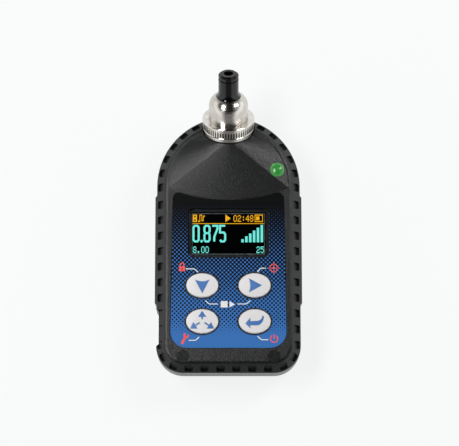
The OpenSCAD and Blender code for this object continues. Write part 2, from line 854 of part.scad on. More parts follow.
// One key: crowned cap, retaining flange under the face, and foot above its snap dome
module key_at(x, y) {
    color("#e6e4e2")
        translate([x, y, 0]) {
            intersection() {
                hull() {
                    translate([0, 0, key_flange_z])
                        linear_extrude(key_wall_z - key_flange_z)
                            polygon(ellipse_points(key_w / 2, key_h / 2));
                    translate([0, 0, key_flange_z])
                        linear_extrude(key_top_z - seat_gap - key_flange_z)
                            polygon(ellipse_points(key_w / 2 - key_edge, key_h / 2 - key_edge));
                }
                translate([0, 0, key_top_z - key_crown_r])
                    sphere(r = key_crown_r, $fn = 2 * round_fn);
            }
            translate([0, 0, key_flange_z])
                linear_extrude(key_flange_t)
                    polygon(ellipse_points(key_w / 2 + key_rim, key_h / 2 + key_rim));
            translate([0, 0, key_foot_z])
                cylinder(r = key_foot_r, h = key_flange_z - key_foot_z + seat_gap, $fn = small_fn);
        }
}

module key_down() {
    key_at(-key_x, key_row_y[0]);
}

module key_right() {
    key_at(key_x, key_row_y[0]);
}

module key_axis() {
    key_at(-key_x, key_row_y[1]);
}

module key_enter() {
    key_at(key_x, key_row_y[1]);
}

module led_lens() {
    cap_r = (lamp_r * lamp_r + lamp_out * lamp_out) / (2 * lamp_out);
    color("#3c8e3d")
        translate([lamp_x, lamp_y, 0]) {
            translate([0, 0, ceiling_z - seat_gap])
                cylinder(r = lamp_r, h = wall + lamp_step + seat_gap, $fn = round_fn);
            translate([0, 0, ceiling_z - seat_gap - lamp_flange_t])
                cylinder(r = lamp_r + lamp_flange, h = lamp_flange_t, $fn = round_fn);
            intersection() {
                translate([0, 0, case_t + lamp_step])
                    cylinder(r = lamp_r, h = lamp_out, $fn = round_fn);
                translate([0, 0, case_t + lamp_step + lamp_out - cap_r])
                    sphere(r = cap_r, $fn = round_fn);
            }
        }
}

module status_led() {
    led_w = 2.8;
    led_h = ceiling_z - seat_gap - lamp_flange_t - loose_gap - key_board_top;
    color("#e8e6d8")
        translate([lamp_x - led_w / 2, lamp_y - led_w / 2, key_board_top])
            cube([led_w, led_w, led_h]);
}

module main_board() {
    color("#1a5230")
        difference() {
            translate([0, 0, board_z])
                linear_extrude(board_t)
                    board_outline(board_end_y);
            port_clearance(board_z, board_t);
            board_holes(board_z, board_t);
        }
}

module board_spacers() {
    color("#c4a45a")
        for (p = post_places)
            translate([p[0], p[1], board_top])
                difference() {
                    cylinder(r = post_r, h = board_gap, $fn = small_fn);
                    translate([0, 0, -over])
                        cylinder(r = board_screw_r + fit_gap, h = board_gap + 2 * over, $fn = small_fn);
                }
}

module board_screws() {
    reach = board_gap + board_t + key_board_t + 2 * board_head_t;
    color("#aeb0b3")
        for (p = post_places)
            translate([p[0], p[1], board_z - board_head_t]) {
                cylinder(r = board_head_r, h = board_head_t, $fn = small_fn);
                cylinder(r = board_screw_r - seat_gap, h = reach, $fn = small_fn);
            }
}

// Processor, converter and memory on the main board
module main_chips() {
    chip_w = board_half_w / 2;
    color("#1b1c1e") {
        translate([-chip_w / 2, screen_y - chip_w / 2, board_top])
            cube([chip_w, chip_w, board_t]);
        translate([-chip_w / 2, key_row_y[0] - chip_w / 3, board_top])
            cube([chip_w, 2 * chip_w / 3, board_t]);
        translate([chip_w * 2 / 3, screen_y - chip_w / 4, board_top])
            cube([chip_w / 2, chip_w / 2, board_t]);
    }
}

// Header that joins the two boards
module board_link() {
    color("#17181a")
        translate([-board_half_w / 3, arch_y - cover_l / 2, board_top])
            cube([2 * board_half_w / 3, cover_l / 3, board_gap]);
}

module battery_cell() {
    color("#8d9094")
        translate([0, battery_y, battery_z])
            rounded_slot(battery_w, battery_l, battery_t / 3, battery_t);
}

module battery_pad() {
    color("#303236")
        translate([0, battery_y, floor_z])
            rounded_slot(battery_w - battery_t, battery_l - battery_t, battery_t / 3, pad_t);
}

// Three sprung blades between the main board and the battery
module battery_contacts() {
    blade_w = battery_w / 24;
    color("#d2b04c")
        for (k = [-1, 0, 1])
            translate([k * 2 * blade_w - blade_w / 2, battery_y + battery_l / 2 - 4 * blade_w, battery_top + seat_gap])
                cube([blade_w, 3 * blade_w, board_z - battery_top - seat_gap]);
}

module usb_socket() {
    gap = loose_gap;
    color("#b4b7ba")
        translate([-half_w + usb_inset, port_y, usb_z])
            rotate([0, 90, 0])
                difference() {
                    rounded_slot(usb_h, usb_w, usb_h / 3, usb_l);
                    translate([0, 0, -over])
                        rounded_slot(usb_h - 2 * gap, usb_w - 2 * gap, usb_h / 3 - gap, usb_l - gap);
                }
}

// Cover of the port, with a knuckle at its pin and a lip to lift it by
module port_cover() {
    color("#1c1e20")
        difference() {
            union() {
                translate([cover_pivot_x - knuckle_r, cover_pivot_y, cover_z])
                    cube([cover_t, cover_l, cover_h]);
                translate([cover_pivot_x, cover_pivot_y, cover_z])
                    cylinder(r = knuckle_r, h = cover_h, $fn = small_fn);
            }
            translate([cover_pivot_x, cover_pivot_y, cover_z - over])
                cylinder(r = cover_bore_r, h = cover_h + 2 * over, $fn = small_fn);
        }
}

module port_pin() {
    color("#c2c4c6")
        translate([cover_pivot_x, cover_pivot_y, cover_z - pin_ear - loose_gap + seat_gap])
            cylinder(r = cover_pin_r, h = cover_h + 2 * pin_ear + 2 * loose_gap - 2 * seat_gap, $fn = small_fn);
}

module socket_shell() {
    color("#c8c6c3")
        at_socket()
            rotate_extrude($fn = round_fn)
                polygon([[insulator_r + seat_gap, -barrel_l], [barrel_r, -barrel_l], [barrel_r, 0],
                    [seal_r - seal_t / 2 - seat_gap, 0], [seal_r - seal_t / 2 - seat_gap, seal_t],
                    [seal_r + seal_t / 2 + seat_gap, seal_t], [seal_r + seal_t / 2 + seat_gap, 0],
                    [flange_r - flange_edge, 0], [flange_r, flange_edge], [flange_r, flange_t - flange_edge],
                    [flange_r - flange_edge, flange_t], [neck_r, flange_t], [neck_r, neck_top],
                    [nose_bore_r, neck_top], [nose_bore_r, nose_floor],
                    [insulator_r + seat_gap, nose_floor]]);
}

function contact_at(k) = 360 * k / contact_count;

module at_contacts() {
    for (k = [0:contact_count - 1])
        rotate([0, 0, contact_at(k)])
            translate([contact_circle_r, 0, 0])
                children();
}

module socket_insulator() {
    color("#24262a")
        at_socket(-insulator_l)
            difference() {
                cylinder(r = insulator_r, h = insulator_l + nose_floor, $fn = round_fn);
                at_contacts()
                    translate([0, 0, -over])
                        cylinder(r = pin_r + hole_gap, h = insulator_l + nose_floor + 2 * over, $fn = small_fn);
            }
}

module socket_contacts() {
    tail = barrel_l - insulator_l + socket_board_t + seat_gap;
    color("#d2b04c")
        at_socket(-insulator_l - tail)
            at_contacts()
                cylinder(r = pin_r + hole_gap - seat_gap, h = tail + insulator_l - pin_reach - loose_gap, $fn = small_fn);
}

module socket_seal() {
    color("#1b1c1d")
        at_socket()
            rotate_extrude($fn = round_fn)
                translate([seal_r, seal_t / 2])
                    circle(r = seal_t / 2, $fn = small_fn);
}

module socket_nut() {
    color("#b8b6b2")
        at_socket(-seat_wall - seat_gap - nut_t)
            difference() {
                cylinder(r = nut_r, h = nut_t, $fn = round_fn);
                translate([0, 0, -over])
                    cylinder(r = barrel_r + seat_gap, h = nut_t + 2 * over, $fn = round_fn);
                for (a = [0:90:270])
                    rotate([0, 0, a])
                        translate([nut_r - nut_rim / 2, -nut_rim / 4, -over])
                            cube([nut_rim / 2 + over, nut_rim / 2, nut_t / 2 + over]);
            }
}

module socket_board() {
    color("#1a5230")
        at_socket(-barrel_l - socket_board_t - seat_gap)
            difference() {
                cylinder(r = barrel_r, h = socket_board_t, $fn = round_fn);
                at_contacts()
                    translate([0, 0, -over])
                        cylinder(r = pin_r + hole_gap, h = socket_board_t + 2 * over, $fn = small_fn);
            }
}

// Ribbon from the socket's board to the main board
module socket_flex() {
    ribbon_w = 1.2 * barrel_r;
    ribbon_t = 2 * fit_gap;
    back = barrel_l + socket_board_t + 3 * seat_gap;
    start = [seat_y - back * cos(socket_tilt), seat_z - back * sin(socket_tilt)];
    rise = [-sin(socket_tilt), cos(socket_tilt)] * barrel_r * 0.4;
    bend = [start[0] - barrel_r * 0.7, board_top + 2 * ribbon_t];
    path = [start, start + rise, bend, [board_end_y - cover_l / 4, board_top]];
    thick = [-ribbon_t * sin(socket_tilt), -ribbon_t * cos(socket_tilt)];
    color("#b0702a")
        translate([-ribbon_w / 2, 0, 0])
            rotate([90, 0, 90])
                linear_extrude(ribbon_w)
                    polygon([path[0], path[1], path[2] + [0, ribbon_t], path[3] + [0, ribbon_t],
                        path[3], path[2], path[1] + thick, path[0] + thick]);
}

// Outline of the knurl: straight ribs with flat tops
function knurl_points(r_out, r_in) =
    [for (k = [0:knurl_count - 1], p = [[0.1, r_in], [0.3, r_out], [0.7, r_out], [0.9, r_in]])
        let (a = 360 * (k + p[0]) / knurl_count) p[1] * [cos(a), sin(a)]];

module coupling_ring() {
    core_r = ring_r - 1.5 * knurl_depth;
    rim_low = ring_top - ring_rim;
    color("#cfcdca")
        at_socket() {
            rotate_extrude($fn = round_fn)
                polygon([[ring_bore_r, ring_low], [core_r, ring_low], [core_r, rim_low], [ring_r, rim_low],
                    [ring_r, ring_top - knurl_depth / 2], [ring_r - knurl_depth / 2, ring_top],
                    [plug_r + fit_gap, ring_top], [plug_r + fit_gap, ring_top - ring_lip_t],
                    [ring_bore_r, ring_top - ring_lip_t]]);
            translate([0, 0, ring_low + seat_gap])
                difference() {
                    linear_extrude(rim_low - ring_low)
                        polygon(knurl_points(ring_r - seat_gap, ring_r - seat_gap - knurl_depth));
                    translate([0, 0, -over])
                        cylinder(r = (ring_bore_r + core_r) / 2, h = rim_low - ring_low + 2 * over, $fn = round_fn);
                }
        }
}

module plug_body() {
    dome_steps = 10;
    dome = [for (i = [0:dome_steps]) let (a = 90 * i / dome_steps)
        [plug_neck_r + (plug_r - plug_neck_r) * cos(a), ring_top + plug_straight + plug_dome * sin(a)]];
    room_r = plug_r - plug_wall;
    color("#d6d4d1")
        at_socket()
            rotate_extrude($fn = round_fn)
                polygon(concat(
                    [[nose_r - plug_wall + seat_gap, nose_end], [nose_r, nose_end], [nose_r, shoulder_low],
                        [shoulder_r, shoulder_low], [shoulder_r, shoulder_top], [plug_r, shoulder_top]],
                    dome,
                    [[plug_hole_r, plug_top], [plug_hole_r, plug_top - stem_l],
                        [room_r - plug_wall, ring_top + plug_straight], [room_r - plug_wall, shoulder_top + plug_wall],
                        [nose_r - plug_wall + seat_gap, shoulder_top + plug_wall]]));
}

module plug_insulator() {
    color("#2a2c30")
        at_socket(nose_end + seat_gap)
            difference() {
                cylinder(r = nose_r - plug_wall, h = shoulder_top - nose_end + plug_wall, $fn = round_fn);
                at_contacts()
                    translate([0, 0, -over])
                        cylinder(r = pin_r + seat_gap, h = shoulder_top - nose_end + plug_wall + 2 * over, $fn = small_fn);
            }
}

module plug_pins() {
    color("#d2b04c")
        at_socket(-pin_reach)
            at_contacts()
                cylinder(r = pin_r, h = pin_reach + shoulder_top + 2 * plug_wall, $fn = small_fn);
}

module cable_boot() {
    flare_l = 2.2;
    groove_r = boot_r - 0.35;
    nose = boot_r - 0.75;
    flare_steps = 6;
    flare = [for (i = [0:flare_steps]) let (a = 90 * i / flare_steps)
        [boot_foot_r - (boot_foot_r - boot_r) * sin(a), plug_top + flare_l * (1 - cos(a))]];
    color("#0d0e0f")
        at_socket()
            rotate_extrude($fn = round_fn)
                polygon(concat(
                    [[lead_hole_r, plug_top - stem_l], [plug_hole_r - seat_gap, plug_top - stem_l],
                        [plug_hole_r - seat_gap, plug_top]],
                    flare,
                    [[boot_r, plug_top + boot_l * 0.76], [groove_r, plug_top + boot_l * 0.78],
                        [groove_r, plug_top + boot_l * 0.84], [boot_r, plug_top + boot_l * 0.87],
                        [boot_r, plug_top + boot_l * 0.93], [nose, plug_top + boot_l * 0.95],
                        [nose, plug_top + boot_l], [lead_hole_r, plug_top + boot_l]]));
}

front_shell();
rear_shell();
case_gasket();
case_screws();
band_inserts();
side_rail_left();
side_rail_right();
corner_plugs();
panel_overlay();
display_window();
display_gasket();
display_module();
display_flex();
key_board();
key_domes();
key_down();
key_right();
key_axis();
key_enter();
led_lens();
status_led();
main_board();
board_spacers();
board_screws();
main_chips();
board_link();
battery_cell();
battery_pad();
battery_contacts();
usb_socket();
port_cover();
port_pin();
socket_shell();
socket_insulator();
socket_contacts();
socket_seal();
socket_nut();
socket_board();
socket_flex();
coupling_ring();
plug_body();
plug_insulator();
plug_pins();
cable_boot();
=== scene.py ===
"""Studio picture of a pocket vibration meter: finishes, prints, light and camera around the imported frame.

The meter lies on its back at the origin, X to the right, Y towards the plug, Z out of the display, in metres.
Sizes in the classes are in millimetres, because the drawings of such meters are.
"""

import logging
import math
from collections.abc import Callable, Iterable, Mapping, Sequence
from dataclasses import dataclass, field
from enum import Enum

import bmesh
import bpy
from mathutils import Matrix, Vector


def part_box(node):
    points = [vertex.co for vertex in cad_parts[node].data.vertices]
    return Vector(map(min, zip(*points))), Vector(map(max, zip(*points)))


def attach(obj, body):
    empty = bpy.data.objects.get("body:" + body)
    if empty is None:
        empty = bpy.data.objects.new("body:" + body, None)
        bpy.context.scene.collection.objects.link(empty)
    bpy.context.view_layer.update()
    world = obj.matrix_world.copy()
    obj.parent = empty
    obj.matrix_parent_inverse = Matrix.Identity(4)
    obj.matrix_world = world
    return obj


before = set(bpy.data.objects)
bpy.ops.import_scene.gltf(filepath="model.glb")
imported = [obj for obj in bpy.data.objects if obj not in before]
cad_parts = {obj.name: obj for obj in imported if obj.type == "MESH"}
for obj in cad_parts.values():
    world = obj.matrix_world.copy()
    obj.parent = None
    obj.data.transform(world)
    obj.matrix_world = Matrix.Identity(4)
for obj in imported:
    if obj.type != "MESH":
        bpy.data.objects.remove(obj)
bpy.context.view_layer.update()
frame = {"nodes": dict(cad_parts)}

MM = 0.001
# Least cosine at a mitred corner, and the distance in millimetres at which corners of a print are one
MITRE_LIMIT = 0.3
WELD = 0.004
LOG = logging.getLogger("vibration_meter")

Point = tuple[float, float]
Triple = tuple[float, float, float]
Polygon = Sequence[Point]
Height = Callable[[float, float], float]
Tree = bpy.types.NodeTree
Socket = bpy.types.NodeSocket
Material = bpy.types.Material
Thing = bpy.types.Object


def linear(code: str) -> tuple[float, ...]:
    """Turns an sRGB hex colour into linear light.

    Args:
        code: Colour as six hex digits after a hash.

    Returns:
        Linear red, green, blue and an alpha of one.
    """
    parts = (int(code[i : i + 2], 16) / 255 for i in (1, 3, 5))
    red, green, blue = (p / 12.92 if p <= 0.04045 else ((p + 0.055) / 1.055) ** 2.4 for p in parts)
    return red, green, blue, 1.0


def metres(*sizes: float) -> tuple[float, ...]:
    """Turns millimetres into metres."""
    return tuple(size * MM for size in sizes)


def add(
    tree: Tree,
    kind: str,
    inputs: Mapping[str | int, object] | None = None,
    **settings: object,
) -> bpy.types.Node:
    """Adds one node, sets its properties and feeds its inputs.

    Args:
        tree: Tree of the node.
        kind: Type of the node, without the word before it where that is the tree's own.
        inputs: Value or output socket for each input, by name or number.
        settings: Properties of the node, such as its operation.

    Returns:
        The new node.
    """
    own = "ShaderNode" if tree.type == "SHADER" else "GeometryNode"
    full = kind if kind.startswith(("ShaderNode", "NodeGroup")) else own + kind
    node = tree.nodes.new(full)
    for key, value in settings.items():
        setattr(node, key, value)
    for key, value in (inputs or {}).items():
        if isinstance(value, Socket):
            tree.links.new(value, node.inputs[key])
        else:
            node.inputs[key].default_value = value
    return node


def middle(node: str) -> Triple:
    """Gives the middle of a CAD node's box at rest.

    Args:
        node: Name of the node.

    Returns:
        Its place, in millimetres.
    """
    low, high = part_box(node)
    return tuple((a + b) / 2 / MM for a, b in zip(low, high))


def placed(name: str, data: bpy.types.ID) -> Thing:
    """Puts an object with its data into the scene, at the origin."""
    thing = bpy.data.objects.new(name, data)
    bpy.context.scene.collection.objects.link(thing)
    return thing


class Ease(Enum):
    """Course of a ramp between its two ends."""

    EVEN = "LINEAR"
    SOFT = "SMOOTHSTEP"


# -------- parts of a shader


def noise(tree: Tree, place: Socket, size: float, detail: float = 2.0) -> Socket:
    """Adds noise.

    Args:
        tree: Tree of the node.
        place: Place at which it is looked up.
        size: Size of its grains, in millimetres.
        detail: Number of finer layers.

    Returns:
        Its value, about a half.
    """
    node = add(tree, "TexNoise", {"Vector": place, "Scale": 1 / (size * MM), "Detail": detail})
    return node.outputs["Fac"]


def ramp(
    tree: Tree,
    value: Socket,
    source: Point = (0.0, 1.0),
    target: Point = (0.0, 1.0),
    ease: Ease = Ease.EVEN,
    clamp: bool = True,
) -> Socket:
    """Adds a ramp from one range to another.

    Args:
        tree: Tree of the node.
        value: Value to carry over.
        source: Range of the value.
        target: Range of the result.
        ease: Course between the ends.
        clamp: True where the result stays between the ends.

    Returns:
        The result.
    """
    ends = {"From Min": source[0], "From Max": source[1], "To Min": target[0], "To Max": target[1]}
    node = add(tree, "MapRange", {"Value": value, **ends}, interpolation_type=ease.value, clamp=clamp)
    return node.outputs[0]


def blend(tree: Tree, share: Socket, first: str | Socket, second: str | Socket) -> Socket:
    """Mixes two colours.

    Args:
        tree: Tree of the node.
        share: Share of the second colour.
        first: Hex colour or socket.
        second: Hex colour or socket.

    Returns:
        The mixed colour.
    """
    ends = [linear(c) if isinstance(c, str) else c for c in (first, second)]
    node = add(tree, "Mix", {0: share, 6: ends[0], 7: ends[1]}, data_type="RGBA")
    return node.outputs[2]


def number(tree: Tree, operation: str, *values: float | Socket) -> Socket:
    """Adds one sum of numbers and gives its result."""
    return add(tree, "Math", dict(enumerate(values)), operation=operation).outputs[0]


def vector(tree: Tree, operation: str, *values: Triple | Socket) -> Socket:
    """Adds one sum of vectors and gives its result, which for a length is a number."""
    node = add(tree, "VectorMath", dict(enumerate(values)), operation=operation)
    return node.outputs["Value" if operation == "LENGTH" else "Vector"]


def split(tree: Tree, place: Socket) -> tuple[Socket, Socket, Socket]:
    """Takes a vector apart."""
    return tuple(add(tree, "SeparateXYZ", {0: place}).outputs)


def relief(tree: Tree, height: Socket, depth: float) -> Socket:
    """Adds a relief of a depth in millimetres and gives its normal."""
    return add(tree, "Bump", {"Height": height, "Strength": 1.0, "Distance": depth * MM}).outputs[0]


def skin(
    tree: Tree,
    colour: Socket,
    gloss: float | Socket,
    normal: Socket | None,
    more: Mapping[str, object] | None = None,
) -> Socket:
    """Adds the shader of a surface.

    Args:
        tree: Tree of the node.
        colour: Colour of the surface.
        gloss: Its roughness.
        normal: Its relief, if it has one.
        more: Further inputs by name.

    Returns:
        The shader's socket.
    """
    inputs = {"Base Color": colour, "Roughness": gloss, **(more or {})}
    if normal is not None:
        inputs["Normal"] = normal
    return add(tree, "BsdfPrincipled", inputs).outputs[0]


# -------- finishes


@dataclass(frozen=True)
class Finish:
    """Look of one real material. Each kind of finish fills the tree in its own way."""

    name: str

    def build(self) -> Material:
        """Builds the material.

        Returns:
            The finished material.
        """
        material = bpy.data.materials.new(self.name)
        material.use_nodes = True
        tree = material.node_tree
        tree.nodes.clear()
        place = add(tree, "TexCoord").outputs["Object"]
        add(tree, "OutputMaterial", {"Surface": self.shade(tree, place)})
        return material

    def shade(self, tree: Tree, place: Socket) -> Socket:
        """Fills the tree.

        Args:
            tree: Tree of the material.
            place: Object coordinates.

        Returns:
            The shader's socket.
        """
        raise NotImplementedError


@dataclass(frozen=True)
class Cast(Finish):
    """Surface with a fine grain, with which its colour, gloss and relief vary, as on any moulded part."""

    colour: str
    second: str
    grain: float = 0.4
    gloss: Point = (0.35, 0.5)
    relief: float = 0.01
    metallic: float = 0.0
    coat: float = 0.0
    coat_gloss: float = 0.12
    specular: float = 0.5
    drift_grains: float = 14
    tone_range: Point = (0.12, 0.42)
    grain_range: Point = (0.3, 0.7)

    def shade(self, tree: Tree, place: Socket) -> Socket:
        """See Finish.shade."""
        grain = noise(tree, place, self.grain, 3.0)
        drift = noise(tree, place, self.drift_grains * self.grain, 1.0)
        share = ramp(tree, number(tree, "MULTIPLY", grain, drift), self.tone_range)
        return skin(
            tree,
            blend(tree, share, self.colour, self.second),
            ramp(tree, grain, self.grain_range, self.gloss),
            relief(tree, grain, self.relief),
            {
                "Metallic": self.metallic,
                "Coat Weight": self.coat,
                "Coat Roughness": self.coat_gloss,
                "Specular IOR Level": self.specular,
            },
        )


@dataclass(frozen=True)
class Metal(Cast):
    """Rolled, turned or plated metal: a clear mirror that its grain softens."""

    grain: float = 0.3
    gloss: Point = (0.24, 0.4)
    relief: float = 0.004
    metallic: float = 1.0


@dataclass(frozen=True)
class Ink(Cast):
    """Screen-printed ink: a dense even film, whose thickness and gloss vary a little."""

    grain: float = 0.15
    gloss: Point = (0.3, 0.45)
    relief: float = 0.002


@dataclass(frozen=True)
class Grained(Finish):
    """ABS from a spark-eroded mould: a leathery relief of small cells with crests worn a little smoother."""

    valley: str
    crest: str
    cell: float
    relief: float
    gloss: Point
    specular: float
    bend_size: float = 1.4
    bend_reach: float = 0.3
    cell_round: float = 0.45
    crest_range: Point = (0.1, 0.62)
    height_range: Point = (0.0, 1.2)
    dust_size: float = 0.12
    dust_height: float = 0.35

    def shade(self, tree: Tree, place: Socket) -> Socket:
        """See Finish.shade."""
        swirls = {"Vector": place, "Scale": 1 / (self.cell * self.bend_size * MM), "Detail": 2.0}
        bend = add(tree, "TexNoise", swirls)
        reach = self.cell * self.bend_reach * MM
        push = add(tree, "VectorMath", {0: bend.outputs["Color"], 3: reach}, operation="SCALE")
        bent = vector(tree, "ADD", place, push.outputs[0])
        grid = {"Vector": bent, "Scale": 1 / (self.cell * MM), "Smoothness": self.cell_round}
        cells = add(tree, "TexVoronoi", grid, feature="SMOOTH_F1")
        dust = noise(tree, place, self.dust_size)
        crest = ramp(tree, cells.outputs["Distance"], self.crest_range, (1.0, 0.0))
        height = number(tree, "MULTIPLY_ADD", dust, self.dust_height, crest)
        return skin(
            tree,
            blend(tree, crest, self.valley, self.crest),
            ramp(tree, height, self.height_range, self.gloss[::-1]),
            relief(tree, height, self.relief),
            {"Specular IOR Level": self.specular},
        )


@dataclass(frozen=True)
class Turned(Finish):
    """Plated brass off the lathe: bright, with fine feed marks round its axis that stretch each reflection."""

    colour: str
    shadow: str
    seat: Triple = (0.0, 38.9, 16.8)
    lean: float = 45.0
    valley: Point = (0.0, 0.01)
    knurl_top: float = 0.0
    # Colour of the painted shade in the valleys of the knurl
    valley_shade: str = "#625f5b"
    stretch: float = 0.8
    quarter_turn: float = 0.25
    feed: float = 0.22
    stain: float = 3.2
    stain_range: Point = (0.35, 0.7)
    mark_range: Point = (0.25, 0.75)
    gloss: Point = (0.16, 0.3)
    relief: float = 0.004

    def shade(self, tree: Tree, place: Socket) -> Socket:
        """See Finish.shade."""
        lean = math.radians(self.lean)
        seat = metres(*self.seat)
        stand = {"Vector": place, "Location": seat, "Rotation": (-lean, 0.0, 0.0)}
        upright = add(tree, "Mapping", stand, vector_type="TEXTURE").outputs[0]
        x, y, z = split(tree, upright)
        radius = vector(tree, "LENGTH", add(tree, "CombineXYZ", {0: x, 1: y}).outputs[0])
        along = add(tree, "CombineXYZ", {0: z, 1: radius}).outputs[0]
        marks = noise(tree, along, self.feed, 3.0)
        share = ramp(tree, noise(tree, upright, self.stain, 3.0), self.stain_range)
        nickel = blend(tree, share, self.colour, self.shadow)
        # Painted shade darkens the valleys of the knurl, below its top
        depth = ramp(tree, radius, metres(*self.valley))
        unshaded = number(tree, "MAXIMUM", depth, number(tree, "GREATER_THAN", z, self.knurl_top * MM))
        # The feed marks run round the axis, so the reflections stretch along it
        axis = (0.0, math.sin(lean), math.cos(lean))
        around = vector(tree, "CROSS_PRODUCT", axis, vector(tree, "SUBTRACT", place, seat))
        spaces = {"vector_type": "VECTOR", "convert_from": "OBJECT", "convert_to": "WORLD"}
        lay = add(tree, "VectorTransform", {0: around}, **spaces)
        return skin(
            tree,
            blend(tree, unshaded, self.valley_shade, nickel),
            ramp(tree, marks, self.mark_range, self.gloss),
            relief(tree, marks, self.relief),
            {
                "Metallic": 1.0,
                "Anisotropic": self.stretch,
                "Anisotropic Rotation": self.quarter_turn,
                "Tangent": lay.outputs[0],
            },
        )


@dataclass(frozen=True)
class PrintedFoil(Finish):
    """Polyester foil printed from behind: black turns to blue in a halftone of dots, under a fine matt."""

    name: str = "screen_printed_polyester_foil"
    black: str = "#0d0e0f"
    blue: str = "#3a70b4"
    thin_blue: str = "#3d71b4"
    pitch: float = 1.38
    top_y: float = 10.1
    foot_y: float = -26.3
    solid_y: float = -31.7
    level: Point = (-0.26, 0.66)
    fill: float = 0.66
    dot_edge: float = 0.04
    fade_y: Point = (-2.5, 12.8)
    zone_centre: Point = (0.0, 3.1)
    zone_half: Point = (13.3, 8.5)
    zone_round: float = 1.8
    zone_edge: float = 0.04
    ink_grain: float = 0.5
    matt_grain: float = 0.16
    gloss: Point = (0.12, 0.24)
    relief: float = 0.003

    def shade(self, tree: Tree, place: Socket) -> Socket:
        """See Finish.shade."""
        x, y, _ = split(tree, place)
        turn = 2 * math.pi / (self.pitch * MM)
        waves = [number(tree, "COSINE", number(tree, "MULTIPLY", part, turn)) for part in (x, y)]
        screen = number(tree, "MULTIPLY", *waves)
        level = ramp(tree, y, metres(self.foot_y, self.top_y), self.level, clamp=False)
        fill = ramp(tree, y, metres(self.solid_y, self.foot_y), (self.fill, 0.0))
        above = number(tree, "SUBTRACT", number(tree, "ADD", screen, fill), level)
        dots = ramp(tree, above, (-self.dot_edge, self.dot_edge))
        fade = ramp(tree, y, metres(*self.fade_y), (1.0, 0.0))
        # The frame round the display stays plain black inside its rounded outline
        centre = (*metres(*self.zone_centre), 0.0)
        half = (*metres(*(side - self.zone_round for side in self.zone_half)), 1.0)
        size = vector(tree, "ABSOLUTE", vector(tree, "SUBTRACT", place, centre))
        past = vector(tree, "MAXIMUM", vector(tree, "SUBTRACT", size, half), (0.0, 0.0, 0.0))
        edge = metres(self.zone_round - self.zone_edge, self.zone_round + self.zone_edge)
        outside = ramp(tree, vector(tree, "LENGTH", past), edge)
        shown = number(tree, "MULTIPLY", number(tree, "MULTIPLY", dots, fade), outside)
        tint = blend(tree, noise(tree, place, self.ink_grain), self.blue, self.thin_blue)
        matt = noise(tree, place, self.matt_grain)
        return skin(
            tree,
            blend(tree, shown, self.black, tint),
            ramp(tree, matt, target=self.gloss),
            relief(tree, matt, self.relief),
        )


@dataclass(frozen=True)
class Lit(Finish):
    """Lit picture elements of an organic display: even light, broken by the thin dark gaps between them."""

    colour: str
    strength: float
    pitch: float = 0.2
    gap: float = 0.06
    gap_light: float = 0.62

    def shade(self, tree: Tree, place: Socket) -> Socket:
        """See Finish.shade."""
        waves = [number(tree, "PINGPONG", part, self.pitch * MM) for part in split(tree, place)[:2]]
        lines = [ramp(tree, wave, metres(0.0, self.gap), (self.gap_light, 1.0)) for wave in waves]
        colour = blend(tree, number(tree, "MULTIPLY", *lines), "#000000", self.colour)
        return add(tree, "Emission", {"Color": colour, "Strength": self.strength}).outputs[0]


@dataclass(frozen=True)
class ClearPane(Finish):
    """Hard-coated acrylic: clear, faintly grey, with a thin mirror of the room on it."""

    name: str = "clear_acrylic_window"
    tint: str = "#e4e8e8"
    clean_tint: str = "#f4f6f6"
    smear: float = 4
    gloss: Point = (0.02, 0.05)
    ior: float = 1.3

    def shade(self, tree: Tree, place: Socket) -> Socket:
        """See Finish.shade."""
        smear = noise(tree, place, self.smear, 4.0)
        through = add(tree, "BsdfTransparent", {"Color": blend(tree, smear, self.tint, self.clean_tint)})
        mirror = add(tree, "BsdfGlossy", {"Roughness": ramp(tree, smear, target=self.gloss)})
        # Only the outer faces mirror, so that the display stays readable from the side
        inner = add(tree, "NewGeometry").outputs["Backfacing"]
        rim_highlight = add(tree, "Fresnel", {"IOR": self.ior}).outputs[0]
        share = number(tree, "MULTIPLY", rim_highlight, number(tree, "SUBTRACT", 1.0, inner))
        return add(tree, "MixShader", {0: share, 1: through.outputs[0], 2: mirror.outputs[0]}).outputs[0]


@dataclass(frozen=True)
class TintedLens(Finish):
    """Green polycarbonate lens: deep in the middle, with a paler rim colour painted on as the highlight where
    light leaves its edge.
    """

    name: str = "green_polycarbonate_lens"
    deep: str = "#256f2c"
    cloudy: str = "#46a24a"
    rim_highlight: str = "#56a65a"
    centre: Point = (16.35, 24.5)
    radius: float = 2.375
    highlight_shares: Point = (0.62, 0.98)
    cloud: float = 0.9
    glow: float = 0.2
    glow_reach: float = 0.6
    gloss: Point = (0.1, 0.2)

    def shade(self, tree: Tree, place: Socket) -> Socket:
        """See Finish.shade."""
        near = vector(tree, "SUBTRACT", place, (*metres(*self.centre), 0.0))
        reach = vector(tree, "LENGTH", vector(tree, "MULTIPLY", near, (1.0, 1.0, 0.0)))
        # The paler colour towards the rim is a painted highlight
        edge = ramp(tree, reach, metres(*(self.radius * share for share in self.highlight_shares)), ease=Ease.SOFT)
        cloud = noise(tree, place, self.cloud)
        return skin(
            tree,
            blend(tree, edge, blend(tree, cloud, self.deep, self.cloudy), self.rim_highlight),
            ramp(tree, cloud, target=self.gloss),
            None,
            {
                "Subsurface Weight": self.glow,
                "Subsurface Radius": (0.4, 1.0, 0.4),
                "Subsurface Scale": self.glow_reach * MM,
            },
        )


